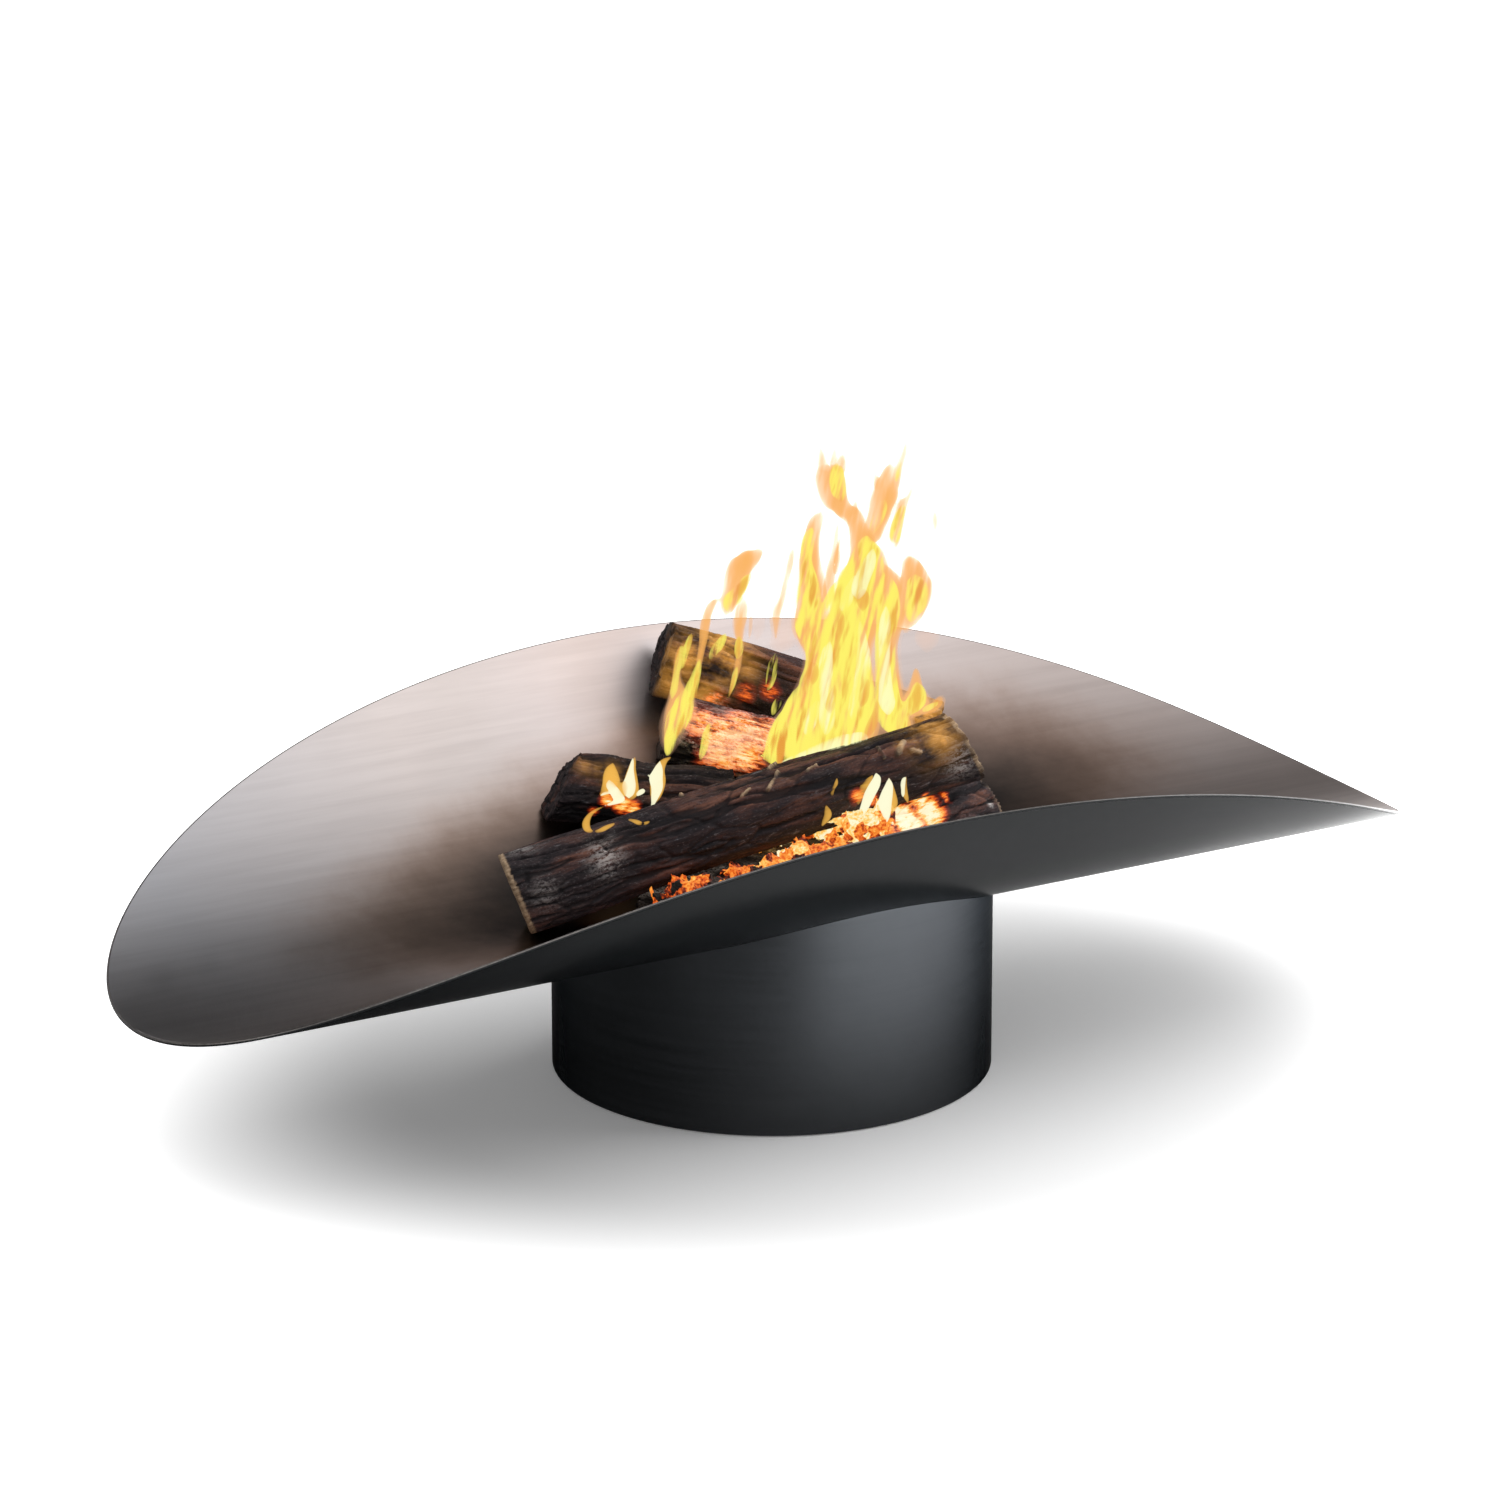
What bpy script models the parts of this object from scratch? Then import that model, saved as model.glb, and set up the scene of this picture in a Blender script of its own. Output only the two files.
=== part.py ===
"""A fire bowl: an oval steel sheet rolled into a trough, resting on a steel drum, with a log fire laid in it.

The trough runs along X. The drum stands on the floor at Z = 0 with its axis on Z, and the view from -Y is the front.
The bowl lifts off the drum. Four levelling feet screw down out of the drum's base ring.
"""

import math
import random

import bmesh
import bpy
from mathutils import Matrix, Vector
from mathutils.bvhtree import BVHTree

# The bowl: the flat blank is an oval, and rolling bends it about an axis that runs along X.
BLANK_LENGTH = 1.600
BLANK_WIDTH = 0.940
SHEET = 0.004
BEND_RADIUS = 0.470
BOWL_HEIGHT = 0.185

# The drum, whose top edge is cut to the underside of the bowl.
DRUM_RADIUS = 0.250
DRUM_WALL = 0.003
FLOOR_GAP = 0.0015

# Pieces that touch keep this much air, rough ones that lie on each other a little more, and a screw or stem has this
# much around it in its hole.
SEAT_GAP = 0.0003
LYING_GAP = 0.0006
HOLE_CLEARANCE = 0.0005

# Lugs welded under the bowl that drop inside the drum's wall and keep the bowl in place.
LUG_WIDTH = 0.040
LUG_THICKNESS = 0.004
LUG_DEPTH = 0.035
LUG_CLEARANCE = 0.0012
LUG_DEGREES = (45.0, 135.0, 225.0, 315.0)

# The flat ring welded inside the drum's foot.
RING_WIDTH = 0.075
RING_THICKNESS = 0.005
RING_ABOVE_PAD = 0.0006

# Levelling feet: a slotted stem in a rubber pad, a weld nut on the ring and a lock nut above it.
FOOT_TO_WALL = 0.008
FOOT_DEGREES = (45.0, 135.0, 225.0, 315.0)
PAD_RADIUS = 0.017
PAD_HEIGHT = 0.006
PAD_FLOOR = 0.0015
PAD_CHAMFER = 0.0015
STEM_RADIUS = 0.004
STEM_LENGTH = 0.040
STEM_CHAMFER = 0.0007
SLOT_WIDTH = 0.0012
SLOT_DEPTH = 0.0025
NUT_ACROSS_FLATS = 0.013
WELD_NUT_HEIGHT = 0.0065
LOCK_NUT_HEIGHT = 0.004

# The heat shield on its spacers above the base ring, and the screws that hold it.
SHIELD_TO_WALL = 0.050
SHIELD_THICKNESS = 0.0015
SPACER_INSET = 0.013
SPACER_DEGREES = (0.0, 90.0, 180.0, 270.0)
SPACER_RADIUS = 0.006
SPACER_LENGTH = 0.040
SCREW_RADIUS = 0.0025
SCREW_HEAD_RADIUS = 0.0048
SCREW_HEAD_HEIGHT = 0.0028
SCREW_HEAD_CHAMFER = 0.0009
SOCKET_ACROSS_FLATS = 0.003
SOCKET_DEPTH = 0.0016

# The bed of ash under the fire, and where its middle lies from the drum's axis.
BED_LENGTH = 0.500
BED_WIDTH = 0.270
BED_HEIGHT = 0.028
BED_EDGE = 0.0015
BED_PLACE = (0.096, 0.019)

# The split logs, in the order they are laid: length and radius.
LOG_SIZES = {
    "bottom_log": (0.250, 0.036),
    "left_log": (0.205, 0.045),
    "front_log": (0.569, 0.053),
    "inner_log": (0.200, 0.043),
    "back_log": (0.345, 0.050),
}
# Where the middle of each log lies from the drum's axis, and its yaw and roll.
LOG_PLACES = {
    "bottom_log": (0.2176, 0.0212),
    "left_log": (-0.0600, 0.1810),
    "front_log": (-0.0221, 0.0315),
    "inner_log": (0.0960, 0.2139),
    "back_log": (0.1880, 0.2570),
}
LOG_YAW_DEGREES = {"bottom_log": 29.0, "left_log": -18.0, "front_log": -2.7, "inner_log": -25.0, "back_log": -23.0}
LOG_ROLL_DEGREES = {"bottom_log": 15.0, "left_log": -20.0, "front_log": 0.0, "inner_log": 40.0, "back_log": 10.0}
# Each flat that splitting left on a log: the way it faces, and its distance from the axis as a share of the radius.
LOG_SPLITS = {
    "bottom_log": ((20.0, 0.80), (135.0, 0.86), (262.0, 0.84)),
    "left_log": ((75.0, 0.82), (160.0, 0.88), (285.0, 0.80)),
    "front_log": ((70.0, 0.86), (178.0, 0.90), (250.0, 0.84), (335.0, 0.88)),
    "inner_log": ((95.0, 0.84), (215.0, 0.82), (330.0, 0.86)),
    "back_log": ((60.0, 0.84), (150.0, 0.86), (275.0, 0.80)),
}
# How far each end is cut out of square, -X end first: what it loses for each length that it lies above the log's
# axis, and for each length that it lies to the +Y side.
LOG_CUT_SHARES = {
    "bottom_log": ((0.2, 0.0), (0.3, 0.0)),
    "left_log": ((0.5, 0.0), (0.1, 0.0)),
    "front_log": ((-0.25, 0.32), (0.35, 0.0)),
    "inner_log": ((0.1, 0.0), (0.2, 0.0)),
    "back_log": ((0.0, 0.0), (0.2, 0.0)),
}
# How much a log bows, narrows towards its +X end and swells in knots, as shares of its radius.
LOG_BOW_SHARE = 0.08
LOG_TAPER_SHARE = 0.08
LOG_KNOT_SHARE = 0.022
SPLIT_SHARPNESS = 14.0
STEEPEST_LOG_DEGREES = 24.0
SETTLE_STEPS = 14

# Lumps of charcoal lie in layers, the lowest first, and in rows along the trough: first and last X, and Y, from the
# drum's axis. A lump that would run into a log is lifted by up to a share of its radius, and is otherwise left out.
EMBER_RADIUS = 0.018
EMBER_ROWS = {
    "front_embers": (
        ((-0.096, 0.272, -0.0775), (-0.144, 0.304, -0.0517), (-0.144, 0.320, -0.0235)),
        ((-0.136, 0.304, -0.0658), (-0.160, 0.320, -0.0376)),
        ((-0.144, 0.328, -0.0517),),
        ((0.080, 0.304, -0.0470),),
    ),
    "inner_embers": (
        ((0.016, 0.240, 0.1152), (0.032, 0.240, 0.1434)),
    ),
}
EMBER_SPACING_SHARE = 1.25
EMBER_LAYER_SHARE = 1.10
EMBER_JITTER_SHARE = 0.25
EMBER_LIFT_SHARE = 0.7
EMBER_LIFT_STEPS = 8
EMBER_ROUGHNESS_SHARE = 0.12
# The least and the most of a lump's radius, and of its three half sizes, as shares of the ember radius.
LUMP_RADIUS_SHARES = (0.80, 1.15)
LUMP_STRETCH_SHARES = ((1.0, 1.5), (0.7, 1.0), (0.6, 0.9))

# Cutters run past the face they cut by this much.
OVERRUN = 0.002

# How finely round shapes are divided.
BLANK_ROWS = 96
DRUM_SEGMENTS = 96
SHIELD_SEGMENTS = 60
SMALL_SEGMENTS = 12
LUG_STATIONS = 4
BED_RINGS = 4
BED_SEGMENTS = 32
LOG_SIDES = 16
LOG_RINGS = 12

HALF_LENGTH = BLANK_LENGTH / 2
HALF_WIDTH = BLANK_WIDTH / 2
BEND_CENTRE_Z = BOWL_HEIGHT + BEND_RADIUS
DRUM_INNER_RADIUS = DRUM_RADIUS - DRUM_WALL
FOOT_CIRCLE = DRUM_INNER_RADIUS - FOOT_TO_WALL - PAD_RADIUS
SHIELD_RADIUS = DRUM_INNER_RADIUS - SHIELD_TO_WALL
SPACER_CIRCLE = SHIELD_RADIUS - SPACER_INSET
RING_BOTTOM = PAD_HEIGHT + RING_ABOVE_PAD
RING_TOP = RING_BOTTOM + RING_THICKNESS


def clear_scene():
    for old in list(bpy.data.objects):
        bpy.data.objects.remove(old, do_unlink=True)


def material(name, colour, roughness, metallic):
    made = bpy.data.materials.new(name)
    made.use_nodes = True
    shader = made.node_tree.nodes["Principled BSDF"]
    shader.inputs["Base Color"].default_value = (*colour, 1.0)
    shader.inputs["Roughness"].default_value = roughness
    shader.inputs["Metallic"].default_value = metallic
    return made


def add_mesh(name, bm, surface, smooth_degrees=35.0):
    """Turns a bmesh into a mesh with one material, shaded smooth up to an angle."""
    bmesh.ops.recalc_face_normals(bm, faces=bm.faces)
    mesh = bpy.data.meshes.new(name)
    bm.to_mesh(mesh)
    bm.free()
    mesh.materials.append(surface)
    mesh.shade_smooth()
    mesh.set_sharp_from_angle(angle=math.radians(smooth_degrees))
    return mesh


def add_object(name, mesh, place=(0.0, 0.0, 0.0), turn_degrees=0.0):
    """Links an object for a mesh, or an empty for None."""
    made = bpy.data.objects.new(name, mesh)
    made.location = place
    made.rotation_euler.z = math.radians(turn_degrees)
    bpy.context.scene.collection.objects.link(made)
    return made


def add_ring_of(name, mesh, radius, all_degrees):
    """One object for each place round a circle, all with the same mesh."""
    return [
        add_object(f"{name}_{number}", mesh, around(radius, degrees), degrees)
        for number, degrees in enumerate(all_degrees, 1)
    ]


def parent_in_place(child, parent):
    """Parents a child that is already placed in the world, and leaves it where it is."""
    bpy.context.view_layer.update()
    child.parent = parent
    child.matrix_parent_inverse = parent.matrix_world.inverted()


def combine(made, other, operation):
    """Cuts an object with another, or joins the other on. The other stays hidden."""
    other.hide_render = True
    other.display_type = "WIRE"
    modifier = made.modifiers.new(operation.lower(), "BOOLEAN")
    modifier.operation = operation
    modifier.use_self = operation == "UNION"
    modifier.object = other


def around(radius, degrees, height=0.0):
    angle = math.radians(degrees)
    return Vector((radius * math.cos(angle), radius * math.sin(angle), height))


def hexagon(across_flats):
    """The distance from a hexagon's middle to its side, for each angle."""
    def reach(angle):
        from_flat = angle % (math.pi / 3) - math.pi / 6
        return across_flats / 2 / math.cos(from_flat)
    return reach


def turned(bm, profile, segments, centre=Vector()):
    """A solid turned about Z from a closed loop of (radius, height). A radius may be a function of the angle."""
    rings = []
    for step in range(segments):
        angle = 2 * math.pi * step / segments
        ring = []
        for radius, height in profile:
            if radius == 0.0 and rings:
                ring.append(rings[0][len(ring)])
                continue
            reach = radius(angle) if callable(radius) else radius
            ring.append(bm.verts.new(centre + Vector((reach * math.cos(angle), reach * math.sin(angle), height))))
        rings.append(ring)
    for ring, following in zip(rings, rings[1:] + rings[:1]):
        loop_faces(bm, ring, following)


def loop_faces(bm, loop, following):
    """The faces between two loops of the same length, leaving out what shrinks to a point or a line."""
    for corner in range(len(loop)):
        after = (corner + 1) % len(loop)
        corners = []
        for vertex in (loop[corner], loop[after], following[after], following[corner]):
            if vertex not in corners:
                corners.append(vertex)
        if len(corners) > 2:
            bm.faces.new(corners)


def turned_mesh(name, profile, segments, surface):
    bm = bmesh.new()
    turned(bm, profile, segments)
    return add_mesh(name, bm, surface)


def disc_profile(radius, bottom, top, chamfer=0.0):
    edge = [(radius, top - chamfer), (radius - chamfer, top)] if chamfer else [(radius, top)]
    return [(0.0, bottom), (radius, bottom), *edge, (0.0, top)]


def tube_profile(inner, outer, bottom, top):
    return [(inner, bottom), (outer, bottom), (outer, top), (inner, top)]


def hole_cutter(name, places, radius, bottom, top, surface):
    """One round cutter at each place, all in one hidden object."""
    bm = bmesh.new()
    for place in places:
        turned(bm, disc_profile(radius, bottom - OVERRUN, top + OVERRUN), SMALL_SEGMENTS, place)
    return add_object(name, add_mesh(name, bm, surface))


def face_height(radius, y):
    """Height of a rolled face of this radius above the floor, y to the side of the trough's lowest line."""
    return BEND_CENTRE_Z - math.sqrt(radius * radius - y * y)


def underside_height(y):
    return face_height(BEND_RADIUS + SHEET / 2, y)


def inside_height(y):
    return face_height(BEND_RADIUS - SHEET / 2, y)


def rolled(along, across):
    """Where a point of the flat blank's middle surface lies once the blank is rolled."""
    angle = across / BEND_RADIUS
    return Vector((along, BEND_RADIUS * math.sin(angle), BEND_CENTRE_Z - BEND_RADIUS * math.cos(angle)))


def build_bowl(surface):
    """The blank as straight lines along X from rim to rim, rolled, then given the sheet's thickness."""
    bm = bmesh.new()
    rows = []
    for row in range(BLANK_ROWS + 1):
        turn = math.pi * (row / BLANK_ROWS - 0.5)
        across = HALF_WIDTH * math.sin(turn)
        reach = HALF_LENGTH * math.cos(turn)
        if row in (0, BLANK_ROWS):
            tip = bm.verts.new(rolled(0.0, across))
            rows.append((tip, tip))
        else:
            rows.append((bm.verts.new(rolled(-reach, across)), bm.verts.new(rolled(reach, across))))
    for low, high in zip(rows, rows[1:]):
        corners = []
        for vertex in (low[0], low[1], high[1], high[0]):
            if vertex not in corners:
                corners.append(vertex)
        bm.faces.new(corners)
    bowl = add_object("bowl", add_mesh("bowl", bm, surface))
    plate = bowl.modifiers.new("sheet", "SOLIDIFY")
    plate.thickness = SHEET
    plate.offset = 0.0
    return bowl


def build_drum(surface):
    """A rolled wall whose top edge follows the bowl's underside."""
    bm = bmesh.new()
    loops = []
    for step in range(DRUM_SEGMENTS):
        inner = around(DRUM_INNER_RADIUS, 360.0 * step / DRUM_SEGMENTS, FLOOR_GAP)
        outer = around(DRUM_RADIUS, 360.0 * step / DRUM_SEGMENTS, FLOOR_GAP)
        loops.append([bm.verts.new(spot) for spot in (inner, outer, under_bowl(outer), under_bowl(inner))])
    for loop, following in zip(loops, loops[1:] + loops[:1]):
        loop_faces(bm, loop, following)
    return add_object("drum_shell", add_mesh("drum_shell", bm, surface))


def under_bowl(spot):
    """The point above or below this one where the bowl's underside leaves the seat gap."""
    return Vector((spot.x, spot.y, underside_height(spot.y) - SEAT_GAP))


def build_lug(number, degrees, surface):
    """A flat tab just inside the drum's wall, with its top edge cut to the bowl's underside."""
    half = LUG_WIDTH / 2
    reach = DRUM_INNER_RADIUS - LUG_CLEARANCE
    outer_face = math.sqrt(reach * reach - half * half)
    turn = Matrix.Rotation(math.radians(degrees), 3, "Z")
    foot = under_bowl(turn @ Vector((outer_face, 0.0, 0.0))).z - LUG_DEPTH
    bm = bmesh.new()
    loops = []
    for station in range(LUG_STATIONS + 1):
        side = half * (2 * station / LUG_STATIONS - 1)
        outer = turn @ Vector((outer_face, side, foot))
        inner = turn @ Vector((outer_face - LUG_THICKNESS, side, foot))
        loops.append([bm.verts.new(spot) for spot in (outer, inner, under_bowl(inner), under_bowl(outer))])
    for loop, following in zip(loops, loops[1:]):
        loop_faces(bm, loop, following)
    bm.faces.new(loops[0])
    bm.faces.new(loops[-1])
    return add_object(f"locating_lug_{number}", add_mesh("locating_lug", bm, surface))


def build_base_ring(surface):
    outer = DRUM_INNER_RADIUS - SEAT_GAP
    profile = tube_profile(outer - RING_WIDTH, outer, RING_BOTTOM, RING_TOP)
    ring = add_object("base_ring", turned_mesh("base_ring", profile, DRUM_SEGMENTS, surface))
    stems = [around(FOOT_CIRCLE, degrees) for degrees in FOOT_DEGREES]
    screws = [around(SPACER_CIRCLE, degrees) for degrees in SPACER_DEGREES]
    for name, places, radius in (("stem_holes", stems, STEM_RADIUS), ("screw_holes", screws, SCREW_RADIUS)):
        cutter = hole_cutter(name, places, radius + HOLE_CLEARANCE, RING_BOTTOM, RING_TOP, surface)
        combine(ring, cutter, "DIFFERENCE")


def build_nuts(surface):
    """On each foot's stem a nut welded to the ring, and a thin lock nut on top of it."""
    bottom = RING_TOP + SEAT_GAP
    for name, height in (("weld_nut", WELD_NUT_HEIGHT), ("lock_nut", LOCK_NUT_HEIGHT)):
        profile = tube_profile(STEM_RADIUS + SEAT_GAP, hexagon(NUT_ACROSS_FLATS), bottom, bottom + height)
        add_ring_of(name, turned_mesh(name, profile, SMALL_SEGMENTS, surface), FOOT_CIRCLE, FOOT_DEGREES)
        bottom += height + SEAT_GAP


def block(bm, low, high):
    """A box between two opposite corners."""
    loops = [
        [bm.verts.new((x, y, z)) for y, z in ((low.y, low.z), (high.y, low.z), (high.y, high.z), (low.y, high.z))]
        for x in (low.x, high.x)
    ]
    loop_faces(bm, *loops)
    bm.faces.new(loops[0])
    bm.faces.new(loops[1])


def build_foot(number, degrees, steel, rubber):
    """A slotted stem in a rubber pad, both on an empty at the stem's axis, along which the foot screws down."""
    axis = add_object(f"foot_axis_{number}", None, around(FOOT_CIRCLE, degrees), degrees)
    socket = STEM_RADIUS + HOLE_CLEARANCE
    pad_profile = [
        (0.0, 0.0), (PAD_RADIUS, 0.0), (PAD_RADIUS, PAD_HEIGHT - PAD_CHAMFER),
        (PAD_RADIUS - PAD_CHAMFER, PAD_HEIGHT), (socket, PAD_HEIGHT), (socket, PAD_FLOOR), (0.0, PAD_FLOOR),
    ]
    pad = add_object(f"foot_pad_{number}", turned_mesh("foot_pad", pad_profile, SMALL_SEGMENTS, rubber))
    bottom = PAD_FLOOR + SEAT_GAP
    top = bottom + STEM_LENGTH
    stem_profile = disc_profile(STEM_RADIUS, bottom, top, STEM_CHAMFER)
    stem = add_object(f"foot_stem_{number}", turned_mesh("foot_stem", stem_profile, SMALL_SEGMENTS, steel))
    bm = bmesh.new()
    corner = Vector((STEM_RADIUS + OVERRUN, SLOT_WIDTH / 2, 0.0))
    block(bm, Vector((0.0, 0.0, top - SLOT_DEPTH)) - corner, Vector((0.0, 0.0, top + OVERRUN)) + corner)
    slot = add_object(f"stem_slot_{number}", add_mesh("stem_slot", bm, steel))
    combine(stem, slot, "DIFFERENCE")
    for piece in (pad, stem, slot):
        piece.parent = axis


def build_heat_shield(steel, zinc):
    """A disc on spacers, held by long screws that end in the base ring."""
    spacer_bottom = RING_TOP + SEAT_GAP
    spacer_top = spacer_bottom + SPACER_LENGTH
    disc_bottom = spacer_top + SEAT_GAP
    disc_top = disc_bottom + SHIELD_THICKNESS
    head_bottom = disc_top + SEAT_GAP
    head_top = head_bottom + SCREW_HEAD_HEIGHT
    bore = SCREW_RADIUS + HOLE_CLEARANCE

    shield_profile = disc_profile(SHIELD_RADIUS, disc_bottom, disc_top)
    shield = add_object("heat_shield", turned_mesh("heat_shield", shield_profile, SHIELD_SEGMENTS, steel))
    places = [around(SPACER_CIRCLE, degrees) for degrees in SPACER_DEGREES]
    combine(shield, hole_cutter("shield_holes", places, bore, disc_bottom, disc_top, steel), "DIFFERENCE")

    spacer_profile = tube_profile(bore, SPACER_RADIUS, spacer_bottom, spacer_top)
    spacer = turned_mesh("shield_spacer", spacer_profile, SMALL_SEGMENTS, zinc)
    add_ring_of("shield_spacer", spacer, SPACER_CIRCLE, SPACER_DEGREES)

    socket = hexagon(SOCKET_ACROSS_FLATS)
    screw_profile = [
        (0.0, RING_BOTTOM), (SCREW_RADIUS, RING_BOTTOM), (SCREW_RADIUS, head_bottom), (SCREW_HEAD_RADIUS, head_bottom),
        (SCREW_HEAD_RADIUS, head_top - SCREW_HEAD_CHAMFER), (SCREW_HEAD_RADIUS - SCREW_HEAD_CHAMFER, head_top),
        (socket, head_top), (socket, head_top - SOCKET_DEPTH), (0.0, head_top - SOCKET_DEPTH),
    ]
    screw = turned_mesh("shield_screw", screw_profile, SMALL_SEGMENTS, zinc)
    add_ring_of("shield_screw", screw, SPACER_CIRCLE, SPACER_DEGREES)


def build_ash_bed(surface):
    """A shallow mound that lies in the trough and thins out to its oval edge."""
    bm = bmesh.new()
    middle_x, middle_y = BED_PLACE
    tops = []
    bottoms = []
    for ring in range(BED_RINGS + 1):
        share = ring / BED_RINGS
        thickness = BED_EDGE + (BED_HEIGHT - BED_EDGE) * (math.cos(math.pi * share) + 1) / 2
        top = []
        bottom = []
        for step in range(BED_SEGMENTS if ring else 1):
            angle = 2 * math.pi * step / BED_SEGMENTS
            x = middle_x + BED_LENGTH / 2 * share * math.cos(angle)
            y = middle_y + BED_WIDTH / 2 * share * math.sin(angle)
            floor = inside_height(y) + SEAT_GAP
            bottom.append(bm.verts.new((x, y, floor)))
            top.append(bm.verts.new((x, y, floor + thickness)))
        tops.append(top if ring else top * BED_SEGMENTS)
        bottoms.append(bottom if ring else bottom * BED_SEGMENTS)
    rings = tops + bottoms[::-1]
    for low, high in zip(rings, rings[1:]):
        loop_faces(bm, low, high)
    return add_object("ash_bed", add_mesh("ash_bed", bm, surface))


def split_outline(angle, splits):
    """A split log's reach at an angle, as a share of its radius: a circle with flats worn round at their edges."""
    total = 1.0
    for degrees, distance_share in splits:
        facing = math.cos(angle - math.radians(degrees))
        if facing > 0:
            total += (facing / distance_share) ** SPLIT_SHARPNESS
    return total ** (-1 / SPLIT_SHARPNESS)


def log_bmesh(name):
    """A split log along X, with a slight bow, a taper and swellings at its knots."""
    length, radius = LOG_SIZES[name]
    (first_lean, first_turn), (last_lean, last_turn) = LOG_CUT_SHARES[name]
    dice = random.Random(name)
    waves = [(dice.randint(1, 3), dice.uniform(0.8, 2.2), dice.uniform(0, 2 * math.pi)) for _ in range(4)]
    bm = bmesh.new()
    rings = []
    for ring in range(LOG_RINGS + 1):
        share = ring / LOG_RINGS
        bow = LOG_BOW_SHARE * radius * math.sin(math.pi * share)
        loop = []
        for turn in range(LOG_SIDES):
            angle = 2 * math.pi * turn / LOG_SIDES
            knots = sum(math.sin(lobes * angle + turns * 2 * math.pi * share + phase) for lobes, turns, phase in waves)
            reach = split_outline(angle, LOG_SPLITS[name]) * (1 + LOG_KNOT_SHARE * knots)
            reach *= radius * (1 - LOG_TAPER_SHARE * share)
            side = reach * math.cos(angle)
            height = reach * math.sin(angle)
            x = length * (share - 0.5)
            x += (height * first_lean + side * first_turn) * (1 - share)
            x -= (height * last_lean + side * last_turn) * share
            loop.append(bm.verts.new((x, side + bow, height)))
        rings.append(loop)
    for low, high in zip(rings, rings[1:]):
        loop_faces(bm, low, high)
    bm.faces.new(rings[0])
    bm.faces.new(rings[-1])
    return bm


def solid(points, faces, pose=Matrix()):
    """A solid's points in the world and a search tree of its faces."""
    points = [pose @ point for point in points]
    return points, BVHTree.FromPolygons(points, faces)


def world_solid(made):
    bpy.context.view_layer.update()
    evaluated = made.evaluated_get(bpy.context.evaluated_depsgraph_get())
    mesh = evaluated.to_mesh()
    points = [vertex.co.copy() for vertex in mesh.vertices]
    faces = [tuple(face.vertices) for face in mesh.polygons]
    evaluated.to_mesh_clear()
    return solid(points, faces, evaluated.matrix_world)


def fall_onto(falling, others):
    """How far a solid can fall straight down before it meets one of the others, and where it meets it."""
    points, own_tree = falling
    down = Vector((0.0, 0.0, -1.0))
    low = Vector([min(point[axis] for point in points) for axis in range(3)])
    high = Vector([max(point[axis] for point in points) for axis in range(3)])
    best = math.inf
    touch = None
    for other_points, tree in others:
        beneath = [point for point in other_points if low.x <= point.x <= high.x and low.y <= point.y <= high.y]
        rays = [(tree, point, down) for point in points] + [(own_tree, point, -down) for point in beneath]
        for target, start, way in rays:
            hit, _, _, distance = target.ray_cast(start, way)
            if hit is not None and distance < best:
                best = distance
                touch = start
    return best, touch


def meets(one, others):
    return any(one[1].overlap(tree) for _, tree in others)


def rest_height(points, faces, pose, others):
    """How much a solid has to be moved up, or down, so that it lies on the others with the gap between."""
    rise = LYING_GAP / 2 - fall_onto(solid(points, faces, pose), others)[0]
    while meets(solid(points, faces, Matrix.Translation((0.0, 0.0, rise)) @ pose), others):
        rise += LYING_GAP / 2
    return rise + LYING_GAP / 2


def lay_log(name, others, surface):
    """Lays a log down as gravity leaves it: it drops, and tips until it touches on both sides of its middle."""
    made = add_object(name, add_mesh(name, log_bmesh(name), surface, 50.0))
    points = [vertex.co.copy() for vertex in made.data.vertices]
    faces = [tuple(face.vertices) for face in made.data.polygons]
    start = Matrix.Translation((*LOG_PLACES[name], BEND_CENTRE_Z))
    heading = Matrix.Rotation(math.radians(LOG_YAW_DEGREES[name]), 4, "Z")
    roll = Matrix.Rotation(math.radians(LOG_ROLL_DEGREES[name]), 4, "X")
    least = -math.radians(STEEPEST_LOG_DEGREES)
    most = math.radians(STEEPEST_LOG_DEGREES)
    for _ in range(SETTLE_STEPS):
        pitch = (least + most) / 2
        pose = start @ heading @ Matrix.Rotation(pitch, 4, "Y") @ roll
        _, touch = fall_onto(solid(points, faces, pose), others)
        if (touch - pose.translation).dot(heading.col[0].xyz) > 0:
            most = pitch
        else:
            least = pitch
    made.matrix_world = Matrix.Translation((0.0, 0.0, rest_height(points, faces, pose, others))) @ pose
    return made


def lump_bmesh(x, y, dice):
    """One rough lump of charcoal, high above the bowl."""
    centre = Vector((x, y, BEND_CENTRE_Z))
    turn = Matrix.Rotation(dice.uniform(0, math.pi), 4, Vector((dice.random(), dice.random(), 1.0)))
    stretch = Matrix.Diagonal((*[dice.uniform(*shares) for shares in LUMP_STRETCH_SHARES], 1.0))
    place = Matrix.Translation(centre) @ turn @ stretch
    radius = EMBER_RADIUS * dice.uniform(*LUMP_RADIUS_SHARES)
    lump = bmesh.new()
    bmesh.ops.create_icosphere(lump, subdivisions=1, radius=radius, matrix=place)
    for vertex in lump.verts:
        vertex.co += (vertex.co - centre) * dice.uniform(-EMBER_ROUGHNESS_SHARE, EMBER_ROUGHNESS_SHARE)
    return lump


def clear_of_logs(points, faces, rise, logs):
    """A lump at this height, or as much higher as makes it clear of the logs, or None where that is too much."""
    for step in range(EMBER_LIFT_STEPS + 1):
        lift = EMBER_RADIUS * EMBER_LIFT_SHARE * step / EMBER_LIFT_STEPS
        placed = solid(points, faces, Matrix.Translation((0.0, 0.0, rise + lift)))
        if not meets(placed, logs):
            return placed
    return None


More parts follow.
